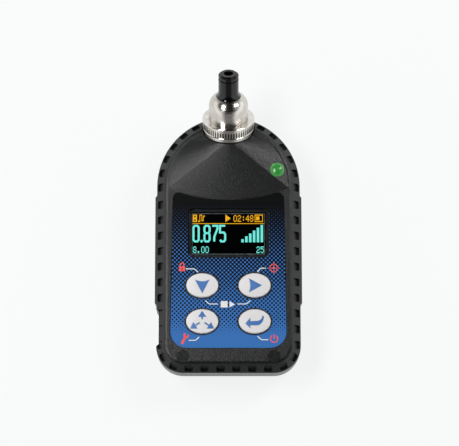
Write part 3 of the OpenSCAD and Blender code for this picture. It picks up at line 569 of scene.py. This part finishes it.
@dataclass(frozen=True)
class BoardMask(Finish):
    """Board under green solder mask: copper tracks show as paler ridges, with tinned pads between."""

    name: str = "fr4_board_under_solder_mask"
    mask: str = "#14492a"
    track: str = "#23713f"
    pad: str = "#c9c3b0"
    pitch: float = 1.27
    pad_range: Point = (0.16, 0.2)
    patch: float = 7
    patch_range: Point = (0.52, 0.56)
    gloss: float = 0.34
    relief: float = 0.03

    def shade(self, tree: Tree, place: Socket) -> Socket:
        """See Finish.shade."""
        tracks = {
            "Vector": place,
            "Scale": 1 / (self.pitch * 6 * MM),
            "Mortar Size": 0.03,
            "Mortar Smooth": 0.2,
            "Brick Width": 1.4,
            "Row Height": 0.17,
        }
        runs = add(tree, "TexBrick", tracks, offset=0.37).outputs["Fac"]
        grid = {"Vector": place, "Scale": 1 / (self.pitch * MM), "Randomness": 0.35}
        spots = add(tree, "TexVoronoi", grid).outputs["Distance"]
        some = ramp(tree, noise(tree, place, self.patch, 1.0), self.patch_range)
        tinned = number(tree, "MULTIPLY", ramp(tree, spots, self.pad_range, (1.0, 0.0)), some)
        green = blend(tree, runs, self.mask, self.track)
        return skin(
            tree,
            blend(tree, tinned, green, self.pad),
            self.gloss,
            relief(tree, number(tree, "ADD", runs, tinned), self.relief),
        )


@dataclass(frozen=True)
class FlatCable(Finish):
    """Polyimide ribbon: amber film over parallel copper conductors, which shine through paler."""

    name: str = "polyimide_flat_cable"
    film: str = "#a5601c"
    copper: str = "#d99a4a"
    pitch: float = 0.5
    lane_edge: Point = (0.08, 0.12)
    gloss: float = 0.28
    relief: float = 0.02

    def shade(self, tree: Tree, place: Socket) -> Socket:
        """See Finish.shade."""
        wave = number(tree, "PINGPONG", split(tree, place)[0], self.pitch / 2 * MM)
        lane = ramp(tree, wave, metres(*self.lane_edge))
        tint = blend(tree, lane, self.film, self.copper)
        return skin(tree, tint, self.gloss, relief(tree, lane, self.relief))


@dataclass(frozen=True)
class PaintedBoard(Finish):
    """Matt painted board of the studio: pale, with a faint roller texture, and as white to the eye as paper."""

    name: str = "matt_painted_board"
    paint: str = "#f8f9f9"
    thin_paint: str = "#f2f3f3"
    nap: float = 3
    light: str = "#fafcfb"
    light_share: float = 0.86

    def shade(self, tree: Tree, place: Socket) -> Socket:
        """See Finish.shade."""
        tone = blend(tree, noise(tree, place, self.nap), self.paint, self.thin_paint)
        matt = add(tree, "BsdfDiffuse", {"Color": tone}).outputs[0]
        glow = add(tree, "Emission", {"Color": linear(self.light), "Strength": 1.0}).outputs[0]
        # The white counts for the eye and for mirrors, and not for the light on the case
        path = add(tree, "LightPath").outputs
        seen = number(tree, "MAXIMUM", path["Is Camera Ray"], path["Is Glossy Ray"])
        seen = number(tree, "MAXIMUM", seen, path["Is Transmission Ray"])
        share = number(tree, "MULTIPLY", seen, self.light_share)
        return add(tree, "MixShader", {0: share, 1: matt, 2: glow}).outputs[0]


# -------- mesh helpers


def stroke(path: Polygon, width: float, closed: bool = False) -> list[Polygon]:
    """Gives a line of even width along a path, with mitred corners.

    Args:
        path: Points of the middle line, in millimetres.
        width: Width of the line.
        closed: True where the last point joins the first.

    Returns:
        One four-cornered polygon for each stretch.
    """
    points = [Vector(p) for p in path]
    ways = [(b - a).normalized() for a, b in zip(points, points[1:] + points[:1])]
    sides = []
    for i, here in enumerate(points):
        met = ([ways[i - 1]] if closed or i else []) + ([ways[i]] if closed or here is not points[-1] else [])
        normals = [Vector((-way.y, way.x)) for way in met]
        mitre = sum(normals, Vector((0.0, 0.0))).normalized()
        reach = width / 2 / max(mitre.dot(normals[0]), MITRE_LIMIT)
        sides.append((here + mitre * reach, here - mitre * reach))
    pairs = list(zip(sides, sides[1:] + sides[:1]))
    if not closed:
        pairs.pop()
    return [[tuple(a[0]), tuple(a[1]), tuple(b[1]), tuple(b[0])] for a, b in pairs]


def arc(centre: Point, radius: float | Point, start: float, end: float, steps: int = 24) -> list[Point]:
    """Gives points along an arc of a circle or an ellipse.

    Args:
        centre: Middle of the arc.
        radius: Radius, or the two half axes.
        start: First angle, in degrees.
        end: Last angle.
        steps: Number of stretches.

    Returns:
        The points from the first angle to the last.
    """
    wide, high = radius if isinstance(radius, tuple) else (radius, radius)
    turns = (math.radians(start + (end - start) * i / steps) for i in range(steps + 1))
    return [(centre[0] + wide * math.cos(t), centre[1] + high * math.sin(t)) for t in turns]


def circle(centre: Point, radius: float | Point, count: int) -> list[Point]:
    """Gives the corners of a closed circle or ellipse."""
    return arc(centre, radius, 0, 360 - 360 / count, count - 1)


def plate(left: float, low: float, right: float, high: float) -> list[Point]:
    """Gives the corners of a rectangle."""
    return [(left, low), (right, low), (right, high), (left, high)]


def moved(polygons: Iterable[Polygon], by: Point, scale: float = 1.0) -> list[Polygon]:
    """Scales polygons about the origin and moves them."""
    return [[(by[0] + scale * x, by[1] + scale * y) for x, y in p] for p in polygons]


def film(name: str, polygons: Iterable[Polygon], height: Height, thickness: float, cuts: int = 0) -> Thing:
    """Makes a closed film that lies on a surface.

    Args:
        name: Name of the piece.
        polygons: Outlines in plan, in millimetres.
        height: Height of the surface at a place.
        thickness: Thickness of the film.
        cuts: Number of cuts across each edge, so that the film follows a curved surface.

    Returns:
        The object, at the origin, with its place in its mesh.
    """
    shape = bmesh.new()
    for polygon in polygons:
        shape.faces.new([shape.verts.new((x, y, 0.0)) for x, y in polygon])
    bmesh.ops.remove_doubles(shape, verts=shape.verts[:], dist=WELD)
    bmesh.ops.triangulate(shape, faces=shape.faces[:])
    if cuts:
        bmesh.ops.subdivide_edges(shape, edges=shape.edges[:], cuts=cuts, use_grid_fill=True)
    for face in shape.faces:
        if face.normal.z < 0:
            face.normal_flip()
    base = shape.faces[:]
    lid = bmesh.ops.extrude_face_region(shape, geom=base, use_keep_orig=True)
    top = {v for v in lid["geom"] if isinstance(v, bmesh.types.BMVert)}
    for vert in shape.verts:
        ground = height(vert.co.x, vert.co.y)
        vert.co.z = ground + thickness if vert in top else ground - thickness / 2
    bmesh.ops.recalc_face_normals(shape, faces=shape.faces[:])
    bmesh.ops.scale(shape, vec=(MM, MM, MM), verts=shape.verts[:])
    mesh = bpy.data.meshes.new(name)
    shape.to_mesh(mesh)
    shape.free()
    return placed(name, mesh)


def baked(piece: Thing) -> Thing:
    """Turns a piece's evaluated shape into its plain mesh and removes its modifiers."""
    graph = bpy.context.evaluated_depsgraph_get()
    mesh = bpy.data.meshes.new_from_object(piece.evaluated_get(graph), depsgraph=graph)
    piece.modifiers.clear()
    piece.data = mesh
    return piece


def finish_piece(piece: Thing, material: Material, body: str) -> None:
    """Dresses a piece and hands it to the frame.

    Args:
        piece: The piece.
        material: Its material.
        body: CAD body that it rides on.
    """
    piece.data.materials.clear()
    piece.data.materials.append(material)
    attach(piece, body)
    LOG.info("%s: %d faces on %s", piece.name, len(piece.data.polygons), body)


# -------- sub-assemblies


Wearers = Mapping[Finish, tuple[str, ...]]

# Moulded, printed and rubbery finishes, each with the nodes that wear it
PLASTICS: Wearers = {
    # Black ABS from an eroded mould: a dry leathery black that greys where light grazes it
    Grained("spark_eroded_black_abs", "#0d0e0f", "#17181a", 0.3, 0.034, (0.24, 0.4), 0.45): ("front_shell",),
    # The rear half comes from its own mould and is a touch browner and finer
    Grained("spark_eroded_black_abs_rear", "#0e0e0e", "#171717", 0.26, 0.03, (0.3, 0.44), 0.25): (
        "rear_shell",
    ),
    # Smooth pressed-in plug: a quiet dark disc in the grained foot
    Cast("smooth_black_abs_plug", "#0e0f10", "#141516", 1.0, (0.26, 0.36), 0.004, specular=0.42): (
        "corner_plugs",
    ),
    # Polished mould: deep black with a clear mirror, against the dull case
    Cast("polished_black_abs", "#0c0d0f", "#141518", 2.5, (0.12, 0.2), 0.004): (
        "side_rail_left", "side_rail_right"
    ),
    # Soft lid: slightly rubbery black
    Cast("soft_touch_black_tpe", "#161718", "#1f2021", 0.3, (0.45, 0.62)): ("port_cover",),
    PrintedFoil(): ("panel_overlay",),
    ClearPane(): ("display_window",),
    # Black glass behind the window, a little blue
    Cast("dark_display_glass", "#030304", "#050608", 1.5, (0.08, 0.12), 0.0005, specular=0.2): (
        "display_module",
    ),
    # Ivory-white ABS key tops, glossy from a polished mould
    Cast("glossy_white_abs", "#e1dfdf", "#d9d7d7", 1.2, (0.25, 0.35), 0.003, coat=0.1): (
        "key_down", "key_right", "key_axis", "key_enter"
    ),
    TintedLens(): ("led_lens",),
    # Black PVC over the lead, glossy from a smooth mould
    Cast("glossy_black_pvc", "#050506", "#080809", 1.8, (0.04, 0.08), 0.004, specular=0.45): ("cable_boot",),
    BoardMask(): ("key_board", "main_board", "socket_board"),
    FlatCable(): ("display_flex", "socket_flex"),
    # Epoxy of a chip: dull black, slightly grainy
    Cast("moulded_chip_epoxy", "#18191b", "#232426", 0.12, (0.5, 0.7), 0.006): ("main_chips", "board_link"),
    # White moulded lamp body: chalky and bright
    Cast("white_lamp_body", "#e9e6da", "#dad7ca", 0.4, (0.35, 0.5)): ("status_led",),
    # Closed-cell foam: dull and porous
    Cast("closed_cell_foam", "#101111", "#090a0a", 0.22, (0.75, 0.95), 0.03): ("battery_pad", "display_gasket"),
    # Moulded rubber: dull dark grey with a skin
    Cast("moulded_silicone_rubber", "#26282a", "#313336", 0.3, (0.5, 0.68), 0.008): (
        "case_gasket", "socket_seal"
    ),
    # Glass-filled PPS of a plug insert: satin near-black
    Cast("glass_filled_pps", "#1e2023", "#2a2c30", 0.18, (0.38, 0.55), 0.006): (
        "socket_insulator", "plug_insulator"
    ),
}

# Metal finishes, each with the nodes that wear it
METALS: Wearers = {
    # Nickel over brass: bright warm grey
    Turned("turned_nickel_plate", "#dad6d0", "#c6c1ba"): ("socket_shell", "socket_nut", "plug_body"),
    # The same plate on the ring, with painted shade in the valleys of its knurl
    Turned(
        "knurled_nickel_plate", "#e4e0db", "#d0cbc4", valley=(8.46, 8.76), knurl_top=3.55, gloss=(0.14, 0.22)
    ): ("coupling_ring",),
    # Zinc-plated steel: cool, with a fine grain
    Metal("zinc_plated_steel", "#b6b9bc", "#9da0a4", gloss=(0.26, 0.42)): (
        "case_screws", "board_screws", "port_pin"
    ),
    # Tinned sheet: a softer, whiter mirror
    Metal("tinned_steel_shell", "#c2c4c4", "#aeb0b1", 0.5, (0.2, 0.34), 0.003): ("usb_socket",),
    # Bare brass: a warm yellow, dulled by handling
    Metal("turned_brass", "#c79a4b", "#a97f38"): ("band_inserts", "board_spacers"),
    # Gold flash on sprung bronze: a rich yellow mirror
    Metal("gold_plated_bronze", "#e0b052", "#c9983e", 0.25, (0.16, 0.28), 0.002): (
        "battery_contacts", "socket_contacts", "plug_pins"
    ),
    # Pressed stainless sheet: a neutral satin mirror
    Metal("stainless_snap_dome", "#c6c8ca", "#b2b4b7", 0.2, (0.18, 0.3), 0.002): ("key_domes",),
    # Aluminium laminate pouch of a cell: silvery with soft dents
    Metal("aluminium_laminate_pouch", "#a9acb0", "#8f9297", 2.8, (0.22, 0.4), 0.08, metallic=0.8): (
        "battery_cell",
    ),
}


@dataclass
class Workshop:
    """Builds each finish once and puts it on the CAD nodes that wear it."""

    wearers: Wearers = field(default_factory=lambda: {**PLASTICS, **METALS})

    def dress(self, nodes: Mapping[str, Thing]) -> None:
        """Builds the finishes and puts them on the CAD nodes.

        Args:
            nodes: The frame's nodes by name.
        """
        dressed = 0
        for finish, names in self.wearers.items():
            material = finish.build()
            for node in (nodes[name] for name in names):
                if not node.material_slots:
                    node.data.materials.append(material)
                for slot in node.material_slots:
                    slot.material = material
            dressed += len(names)
        LOG.info("%d nodes dressed", dressed)


@dataclass
class PanelPrint:
    """Signs printed on the foil round the keys, placed from the middle of its foot edge."""

    top_z: float = 18.85
    film_t: float = 0.02
    line_w: float = 0.3
    bow_w: float = 0.34
    shade_ring_w: float = 0.34
    wrench_lean: float = -27.0
    wrench_scale: float = 0.93
    lock_at: Point = (-15.5, 26.6)
    target_at: Point = (15.15, 26.85)
    wrench_at: Point = (-14.6, 3.0)
    power_at: Point = (15.15, 3.05)
    lines: tuple[tuple[Point, ...], ...] = (
        ((-14.2, 26.54), (-11.65, 26.54), (-11.2, 26.38), (-10.1, 25.4)),
        ((12.5, 26.78), (11.0, 26.78), (10.6, 26.6), (9.65, 25.45)),
        ((-7.65, 15.85), (-6.7, 14.9), (-6.2, 14.68), (-3.5, 14.68)),
        ((3.0, 14.68), (5.7, 14.68), (6.2, 14.9), (7.3, 15.9)),
        ((-13.2, 2.5), (-11.2, 2.5), (-10.7, 2.7), (-9.7, 3.65)),
        ((13.2, 2.7), (11.2, 2.7), (10.7, 2.9), (9.65, 3.9)),
    )

    def _lock(self) -> list[Polygon]:
        """Draws a closed padlock."""
        body = [
            plate(-1.0, -0.85, -0.16, 0.8),
            plate(0.16, -0.85, 1.0, 0.8),
            plate(-0.16, -0.85, 0.16, -0.5),
            plate(-0.16, 0.25, 0.16, 0.8),
        ]
        crook = arc((0.0, 1.35), 0.62, 180, 0, 12)
        bow = stroke([(-0.62, 0.8), (-0.62, 1.35), *crook, (0.62, 0.8)], self.bow_w)
        return moved(body + bow, self.lock_at)

    def _target(self) -> list[Polygon]:
        """Draws a ring with a dot and four ticks."""
        ring = stroke(circle((0.0, 0.0), 1.25, 24), self.line_w, closed=True)
        dot = [circle((0.0, 0.0), 0.42, 24)]
        ticks = [
            Matrix.Rotation(math.radians(a), 2) @ Vector(p)
            for a in (0, 90, 180, 270)
            for p in ((1.3, -0.3), (2.05, 0.0), (1.3, 0.3), (0.7, 0.0))
        ]
        marks = [[tuple(p) for p in ticks[i : i + 4]] for i in range(0, 16, 4)]
        return moved(ring + dot + marks, self.target_at)

    def _wrench(self) -> list[Polygon]:
        """Draws an open-ended wrench that leans to the right."""
        flat = [
            plate(-0.44, -2.0, 0.44, 0.45),
            [(-0.44, 0.45), (0.44, 0.45), (0.98, 1.0), (-0.98, 1.0)],
            plate(-0.98, 1.0, -0.32, 1.95),
            plate(0.32, 1.0, 0.98, 1.95),
        ]
        turn = Matrix.Rotation(math.radians(self.wrench_lean), 2)
        leaning = [[tuple(turn @ Vector(p)) for p in q] for q in flat]
        return moved(leaning, self.wrench_at, self.wrench_scale)

    def _power(self) -> list[Polygon]:
        """Draws an open ring with a bar in its gap."""
        ring = stroke(arc((0.0, 0.0), 1.2, 125, 415, 24), self.bow_w)
        return moved([*ring, plate(-0.17, -0.1, 0.17, 1.45)], self.power_at)

    def build(self, red: Material, white: Material, black: Material, keys: "Keys") -> None:
        """Makes the prints and hands them to the frame.

        Args:
            red: Ink of the function signs.
            white: Ink of the lines and of the stop and run marks.
            black: Ink of the rings round the keys, which are painted shade round each key's gap.
            keys: The keys, whose places the rings follow.
        """

        def flat(x: float, y: float) -> float:
            """Gives the height of the foil."""
            return self.top_z

        foot = (0.0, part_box("panel_overlay")[0][1] / MM)
        signs = self._lock() + self._target() + self._wrench() + self._power()
        finish_piece(film("function_signs", moved(signs, foot), flat, self.film_t), red, "case")
        marks = [p for line in self.lines for p in stroke(line, self.line_w)]
        marks.append(plate(-2.57, 13.54, -0.3, 15.66))
        marks.append([(0.36, 13.54), (2.2, 14.6), (0.36, 15.66)])
        finish_piece(film("guide_lines", moved(marks, foot), flat, self.film_t), white, "case")
        # The black rings round the keys are painted shade, standing in for the dark gap and shadow round each
        # key
        around = (keys.half[0] + self.shade_ring_w, keys.half[1] + self.shade_ring_w)
        shade_rings = [
            p
            for centre in keys.places.values()
            for p in stroke(circle(centre, around, 48), self.shade_ring_w, closed=True)
        ]
        finish_piece(film("key_shade_rings", shade_rings, flat, self.film_t), black, "case")


@dataclass
class Keys:
    """Blue signs printed on the crowned key tops."""

    half: Point = (5.35, 4.1)
    top_z: float = 19.75
    crown_r: float = 44.94
    film_t: float = 0.02
    arrow_scale: float = 1.07
    axis_w: float = 0.5
    places: dict[str, Point] = field(
        default_factory=lambda: {
            name: middle(name)[:2] for name in ("key_down", "key_right", "key_axis", "key_enter")
        }
    )

    def _signs(self) -> dict[str, list[Polygon]]:
        """Draws each key's sign about the key's middle."""
        down = [
            [(-2.28, 1.78), (-1.1, 1.32), (0.0, 1.18), (0.0, -2.6)],
            [(2.28, 1.78), (0.0, -2.6), (0.0, 1.18), (1.1, 1.32)],
        ]
        right = [
            [(-1.8, 2.2), (2.3, -0.06), (-1.34, -0.06), (-1.44, 1.0)],
            [(-1.8, -2.3), (-1.44, -1.1), (-1.34, -0.06), (2.3, -0.06)],
        ]
        head = [(0.0, 1.2), (-1.35, -0.9), (1.35, -0.9)]
        axis: list[Polygon] = []
        for centre, angle in (((0.0, 2.35), 0.0), ((-3.0, -1.85), 122.0), ((3.0, -1.85), -122.0)):
            turn = Matrix.Rotation(math.radians(angle), 2)
            shift = Vector(centre)
            axis.append([tuple(turn @ Vector(p) + shift) for p in head])
            stem = (shift * 0.26, shift * 0.86)
            axis += stroke([tuple(p) for p in stem], self.axis_w)
        low = arc((0.65, 1.72), (2.45, 3.12), -90, 0, 8)
        high = arc((0.55, 1.72), (1.95, 1.66), -90, 0, 8)
        enter = [
            [(-3.15, -0.7), (-1.47, -2.45), (-1.47, 1.15)],
            [(-1.47, -1.4), low[0], high[0], (-1.47, 0.0)],
        ]
        enter += [[low[i], low[i + 1], high[i + 1], high[i]] for i in range(8)]
        down, right = (moved(sign, (0.0, 0.0), self.arrow_scale) for sign in (down, right))
        return {"key_down": down, "key_right": right, "key_axis": axis, "key_enter": enter}

    def build(self, blue: Material) -> None:
        """Prints the signs and hands them to the frame.

        Args:
            blue: Ink of the signs.
        """
        for name, sign in self._signs().items():
            centre = self.places[name]

            def crown(x: float, y: float, at: Point = centre) -> float:
                """Gives the height of the key's domed top."""
                away = (x - at[0]) ** 2 + (y - at[1]) ** 2
                return self.top_z - self.crown_r + math.sqrt(self.crown_r**2 - away)

            piece = film(f"{name}_sign", moved(sign, centre), crown, self.film_t, cuts=3)
            finish_piece(piece, blue, name)


# Small font of the display, five elements wide and seven high, from the top row down
DIGITS = {
    "0": "01110 10001 10001 10001 10001 10001 01110",
    "2": "01110 10001 00001 00110 01000 10000 11111",
    "4": "00010 00110 01010 10010 11111 00010 00010",
    "5": "11111 10000 11110 00001 00001 10001 01110",
    "8": "01110 10001 10001 01110 10001 10001 01110",
    ":": "00000 00100 00100 00000 00100 00100 00000",
    ".": "00000 00000 00000 00000 00000 01100 01100",
}

# Signs of its status row, written the same way
SIGNS = {
    "box": "111111 110011 110011 111111 111111 110011 110011 111111",
    "wave": "001111 0010010011 001001011 00100101 00100101 00100101 10100111 111",
    "run": "1 111 11111 1111111 1111111 11111 111 1",
    "cell": "111111111111 100000000001 101111100001 101111100001 "
    "101111100001 101111100001 100000000001 111111111111",
}


@dataclass
class Display:
    """What the lit display shows: plain numbers, a level and a few signs, as rows of square elements."""

    left: float = -12.0
    glass_z: float = 16.95
    lift: float = 0.015
    pixel: Point = (0.23, 0.32)
    advance: int = 6
    signs: tuple[tuple[str, float], ...] = (("box", -11.85), ("wave", -10.1), ("run", -0.9), ("cell", 8.95))
    signs_y: float = 6.45
    time_at: Point = (1.815, 6.24)
    large_at: Point = (-11.75, -2.92)
    large: Point = (1.75, 5.35)
    large_step: float = 2.62
    large_w: float = 0.68
    point_gap: float = 1.05
    point_at: Point = (2.72, 0.42)
    point_r: float = 0.45
    bar_count: int = 6
    bar_left: float = 4.3
    bar_step: float = 1.3
    bar_w: float = 0.85
    bar_foot: float = 0.05
    bar_low: float = 1.1
    bar_rise: float = 0.98
    rule_right: float = 12.1
    rule_y: Point = (3.42, 3.62)
    small_y: float = -4.46
    small_x: Point = (-11.785, 9.515)
    frame_half: Point = (12.2, 6.9)
    frame_w: float = 0.14

    def _tree(self, material: Material) -> tuple[Tree, dict[str, str]]:
        """Builds the node tree that sets one small plate on every point.

        Args:
            material: Material of the plates.

        Returns:
            The tree, and the identifiers of its sizes by name.
        """
        tree = bpy.data.node_groups.new("lit_elements", "GeometryNodeTree")
        face = tree.interface
        face.new_socket("Points", in_out="INPUT", socket_type="NodeSocketGeometry")
        sizes = {
            name: face.new_socket(name, in_out="INPUT", socket_type="NodeSocketFloat").identifier
            for name in ("Width", "Height", "Depth")
        }
        face.new_socket("Mesh", in_out="OUTPUT", socket_type="NodeSocketGeometry")
        enter = add(tree, "NodeGroupInput")
        sides = dict(enumerate(enter.outputs[name] for name in sizes))
        size = add(tree, "ShaderNodeCombineXYZ", sides)
        cube = add(tree, "MeshCube", {"Size": size.outputs[0]}).outputs["Mesh"]
        spread = add(tree, "InstanceOnPoints", {"Points": enter.outputs["Points"], "Instance": cube})
        real = add(tree, "RealizeInstances", {0: spread.outputs[0]})
        worn = add(tree, "SetMaterial", {"Geometry": real.outputs[0], "Material": material})
        add(tree, "NodeGroupOutput", {0: worn.outputs[0]})
        return tree, sizes

    def _spots(self, rows: str, at: Point) -> list[Point]:
        """Gives the middle of every lit element of a sign.

        Args:
            rows: Rows of elements, from the top down, with 1 for a lit one.
            at: Middle of its top left element, in millimetres.

        Returns:
            The middles.
        """
        return [
            (at[0] + column * self.pixel[0], at[1] - row * self.pixel[1])
            for row, bits in enumerate(rows.split())
            for column, bit in enumerate(bits)
            if bit == "1"
        ]

    def _word(self, word: str, at: Point) -> list[Point]:
        """Gives the middle of every lit element of a word, as _spots does for a sign."""
        return [
            spot
            for k, sign in enumerate(word)
            for spot in self._spots(DIGITS[sign], (at[0] + k * self.advance * self.pixel[0], at[1]))
        ]

    def _elements(self, name: str, spots: Sequence[Point], material: Material) -> None:
        """Makes one piece of small lit plates.

        Args:
            name: Name of the piece.
            spots: Middle of each plate, in millimetres.
            material: Its light.
        """
        mesh = bpy.data.meshes.new(name)
        x0, y0 = middle("display_window")[:2]
        z = self.glass_z + self.lift
        mesh.from_pydata([((x0 + x) * MM, (y0 + y) * MM, z * MM) for x, y in spots], [], [])
        piece = placed(name, mesh)
        tree, sizes = self._tree(material)
        modifier = piece.modifiers.new("elements", "NODES")
        modifier.node_group = tree
        for key, value in (("Width", self.pixel[0]), ("Height", self.pixel[1]), ("Depth", 2 * self.lift)):
            modifier[sizes[key]] = value * MM
        finish_piece(baked(piece), material, "case")

    def _large_digit(self, sign: str) -> list[Polygon]:
        """Draws one large digit in a unit cell of its own width and height."""
        low = [(0.25, 0.0), (0.75, 0.0), (1.0, 0.1)]
        high = [(0.75, 1.0), (0.25, 1.0), (0.0, 0.9)]
        waist = [(0.25, 0.53), (0.75, 0.53)]
        lower = [*low, (1.0, 0.43), *reversed(waist), (0.0, 0.43), (0.0, 0.1)]
        upper = [*waist, (1.0, 0.63), (1.0, 0.9), *high, (0.0, 0.63)]
        around = [*low, (1.0, 0.9), *high, (0.0, 0.1)]
        bowl = [(0.75, 0.57), (1.0, 0.46), (1.0, 0.1), (0.75, 0.0), (0.25, 0.0), (0.0, 0.1)]
        five = [(1.0, 1.0), (0.0, 1.0), (0.0, 0.57), *bowl]
        seven = [(0.0, 1.0), (1.0, 1.0), (1.0, 0.8), (0.4, 0.3), (0.4, 0.0)]
        paths = {
            "0": [(around, True)],
            "8": [(lower, True), (upper, True)],
            "5": [(five, False)],
            "7": [(seven, False)],
        }
        wide, high = self.large
        return [
            q
            for path, closed in paths[sign]
            for q in stroke([(x * wide, y * high) for x, y in path], self.large_w, closed)
        ]

    def build(self, amber: Material, cyan: Material, grey: Material) -> None:
        """Makes everything that the display shows.

        Args:
            amber: Light of the status row.
            cyan: Light of the numbers.
            grey: Print of the thin frame round the lit area.
        """

        def glass(x: float, y: float) -> float:
            """Gives the height of the signs over the display's glass."""
            return self.glass_z + self.lift / 2

        def place(name: str, shapes: list[Polygon], light: Material) -> None:
            """Makes one piece from shapes about the window's middle."""
            piece = film(name, moved(shapes, middle("display_window")[:2]), glass, self.lift)
            finish_piece(piece, light, "case")

        status = self._word("02:48", self.time_at)
        for sign, x in self.signs:
            status += self._spots(SIGNS[sign], (x, self.signs_y))
        self._elements("status_row", status, amber)
        low, high = self.rule_y
        place("status_rule", [plate(self.left, low, self.rule_right, high)], amber)
        numbers: list[Polygon] = []
        x, y = self.large_at
        for k, sign in enumerate("0875"):
            left = x + k * self.large_step + (self.point_gap if k else 0.0)
            numbers += moved(self._large_digit(sign), (left, y + self.large_w / 2))
        numbers.append(circle((x + self.point_at[0], y + self.point_at[1]), self.point_r, 12))
        bars = []
        for k in range(self.bar_count):
            left = self.bar_left + self.bar_step * k
            tip = y + self.bar_low + self.bar_rise * k
            bars.append(plate(left, y + self.bar_foot, left + self.bar_w, tip))
        place("large_number", numbers, cyan)
        place("level_bars", bars, cyan)
        left, right = self.small_x
        small = self._word("8.00", (left, self.small_y)) + self._word("25", (right, self.small_y))
        self._elements("small_numbers", small, cyan)
        wide, high = self.frame_half
        place("lit_area_frame", stroke(plate(-wide, -high, wide, high), self.frame_w, closed=True), grey)


# -------- studio


@dataclass(frozen=True)
class Bank:
    """Soft light that faces the meter: its middle and sides in metres, its power in watts."""

    name: str
    place: Triple
    size: Point
    power: float

    def build(self) -> None:
        """Adds the light."""
        light = bpy.data.lights.new(self.name, "AREA")
        light.shape = "RECTANGLE"
        light.size, light.size_y = self.size
        light.energy = self.power
        lamp = placed(self.name, light)
        lamp.location = self.place
        lamp.rotation_mode = "QUATERNION"
        lamp.rotation_quaternion = Vector(self.place).to_track_quat("Z", "Y")


@dataclass
class Studio:
    """Pale sweep, two banks of soft light behind the shoulders and the camera of the picture."""

    aim: Triple = (0.0, 0.3, 9.5)
    tilt: float = 10.41
    yaw: float = -0.09
    distance: float = 665.0
    focal: float = 1958.0
    aim_px: Point = (228.41, 246.07)
    image: Point = (459.0, 446.0)
    sensor: float = 36.0
    clip: Point = (0.01, 20.0)
    side_range: Point = (0.25, 0.8)
    side_light: Point = (0.22, 1.3)
    roof_range: Point = (0.3, 0.62)
    roof_light: Point = (1.0, 0.04)
    floor_half: float = 3.0
    floor_drop: float = 0.05
    banks: tuple[Bank, ...] = (
        Bank("bank_left", (-0.28, 0.04, 0.58), (0.36, 0.15), 2.65),
        Bank("bank_right", (0.36, 0.27, 0.47), (0.14, 0.24), 1.45),
    )

    def camera(self) -> None:
        """Sets the camera at the picture's angle."""
        tilt, yaw = math.radians(self.tilt), math.radians(self.yaw)
        back = Vector(
            (math.sin(yaw) * math.cos(tilt), -math.sin(tilt), math.cos(tilt) * math.cos(yaw))
        ).normalized()
        up = Vector((0.0, 1.0, 0.0))
        up = (up - back * up.dot(back)).normalized()
        right = up.cross(back)
        pixel = self.distance / self.focal
        centre = (
            Vector(self.aim)
            + right * (self.image[0] / 2 - self.aim_px[0]) * pixel
            + up * (self.aim_px[1] - self.image[1] / 2) * pixel
        )
        place = Vector(self.aim) + back * self.distance
        look = (place - centre).normalized()
        side = up.cross(look).normalized()
        turn = Matrix((side, look.cross(side), look)).transposed()
        lens = bpy.data.cameras.new("camera")
        lens.sensor_width = self.sensor
        lens.lens = self.focal * self.sensor / self.image[0]
        lens.clip_start, lens.clip_end = self.clip
        eye = placed("camera", lens)
        eye.matrix_world = Matrix.Translation(place * MM) @ turn.to_4x4()
        bpy.context.scene.camera = eye

    def sky(self) -> None:
        """Lights the room: dark overhead, pale low at both sides, so that gloss has something to show."""
        world = bpy.data.worlds.new("studio_room")
        world.use_nodes = True
        tree = world.node_tree
        tree.nodes.clear()
        x, _, z = split(tree, add(tree, "TexCoord").outputs["Generated"])
        flank = ramp(tree, number(tree, "ABSOLUTE", x), self.side_range, self.side_light, Ease.SOFT)
        low = ramp(tree, z, self.roof_range, self.roof_light, Ease.SOFT)
        level = number(tree, "MULTIPLY", flank, low)
        glow = add(tree, "Background", {"Color": (1.0, 1.0, 1.0, 1.0), "Strength": level})
        add(tree, "OutputWorld", {"Surface": glow.outputs[0]})
        bpy.context.scene.world = world

    def floor(self) -> None:
        """Lays the pale floor, which shows as white and keeps a soft shadow."""
        half = self.floor_half
        mesh = bpy.data.meshes.new("studio_floor")
        corners = [(x, y, -self.floor_drop * MM) for x, y in plate(-half, -half, half, half)]
        mesh.from_pydata(corners, [], [(0, 1, 2, 3)])
        sweep = placed("studio_floor", mesh)
        sweep.data.materials.append(PaintedBoard().build())

    def build(self) -> None:
        """Sets up the whole studio."""
        self.camera()
        self.sky()
        self.floor()
        for bank in self.banks:
            bank.build()
        bpy.context.scene.view_settings.view_transform = "Standard"
        LOG.info("studio set")


def main() -> None:
    """Dresses the meter, adds its prints and lit signs, and sets the studio."""
    logging.basicConfig(level=logging.INFO, format="%(name)s: %(message)s")
    Studio().build()
    Workshop().dress(frame["nodes"])
    keys = Keys()
    red = Ink("red_screen_ink", "#f6574c", "#e64b40").build()
    white = Ink("white_screen_ink", "#ecebe9", "#d9d8d6").build()
    blue = Ink("blue_pad_print", "#4575b5", "#3c6aa8").build()
    # Black ink of the painted shade rings round the keys
    black = Ink("black_key_shade_ink", "#0a0a0b", "#121213").build()
    grey = Ink("grey_mask_edge", "#a4a6a9", "#8e9093").build()
    PanelPrint().build(red, white, black, keys)
    keys.build(blue)
    amber = Lit("amber_elements", "#f8b020", strength=1.5).build()
    cyan = Lit("cyan_elements", "#80fff0", strength=1.3).build()
    Display().build(amber, cyan, grey)


if __name__ == "__main__":
    main()
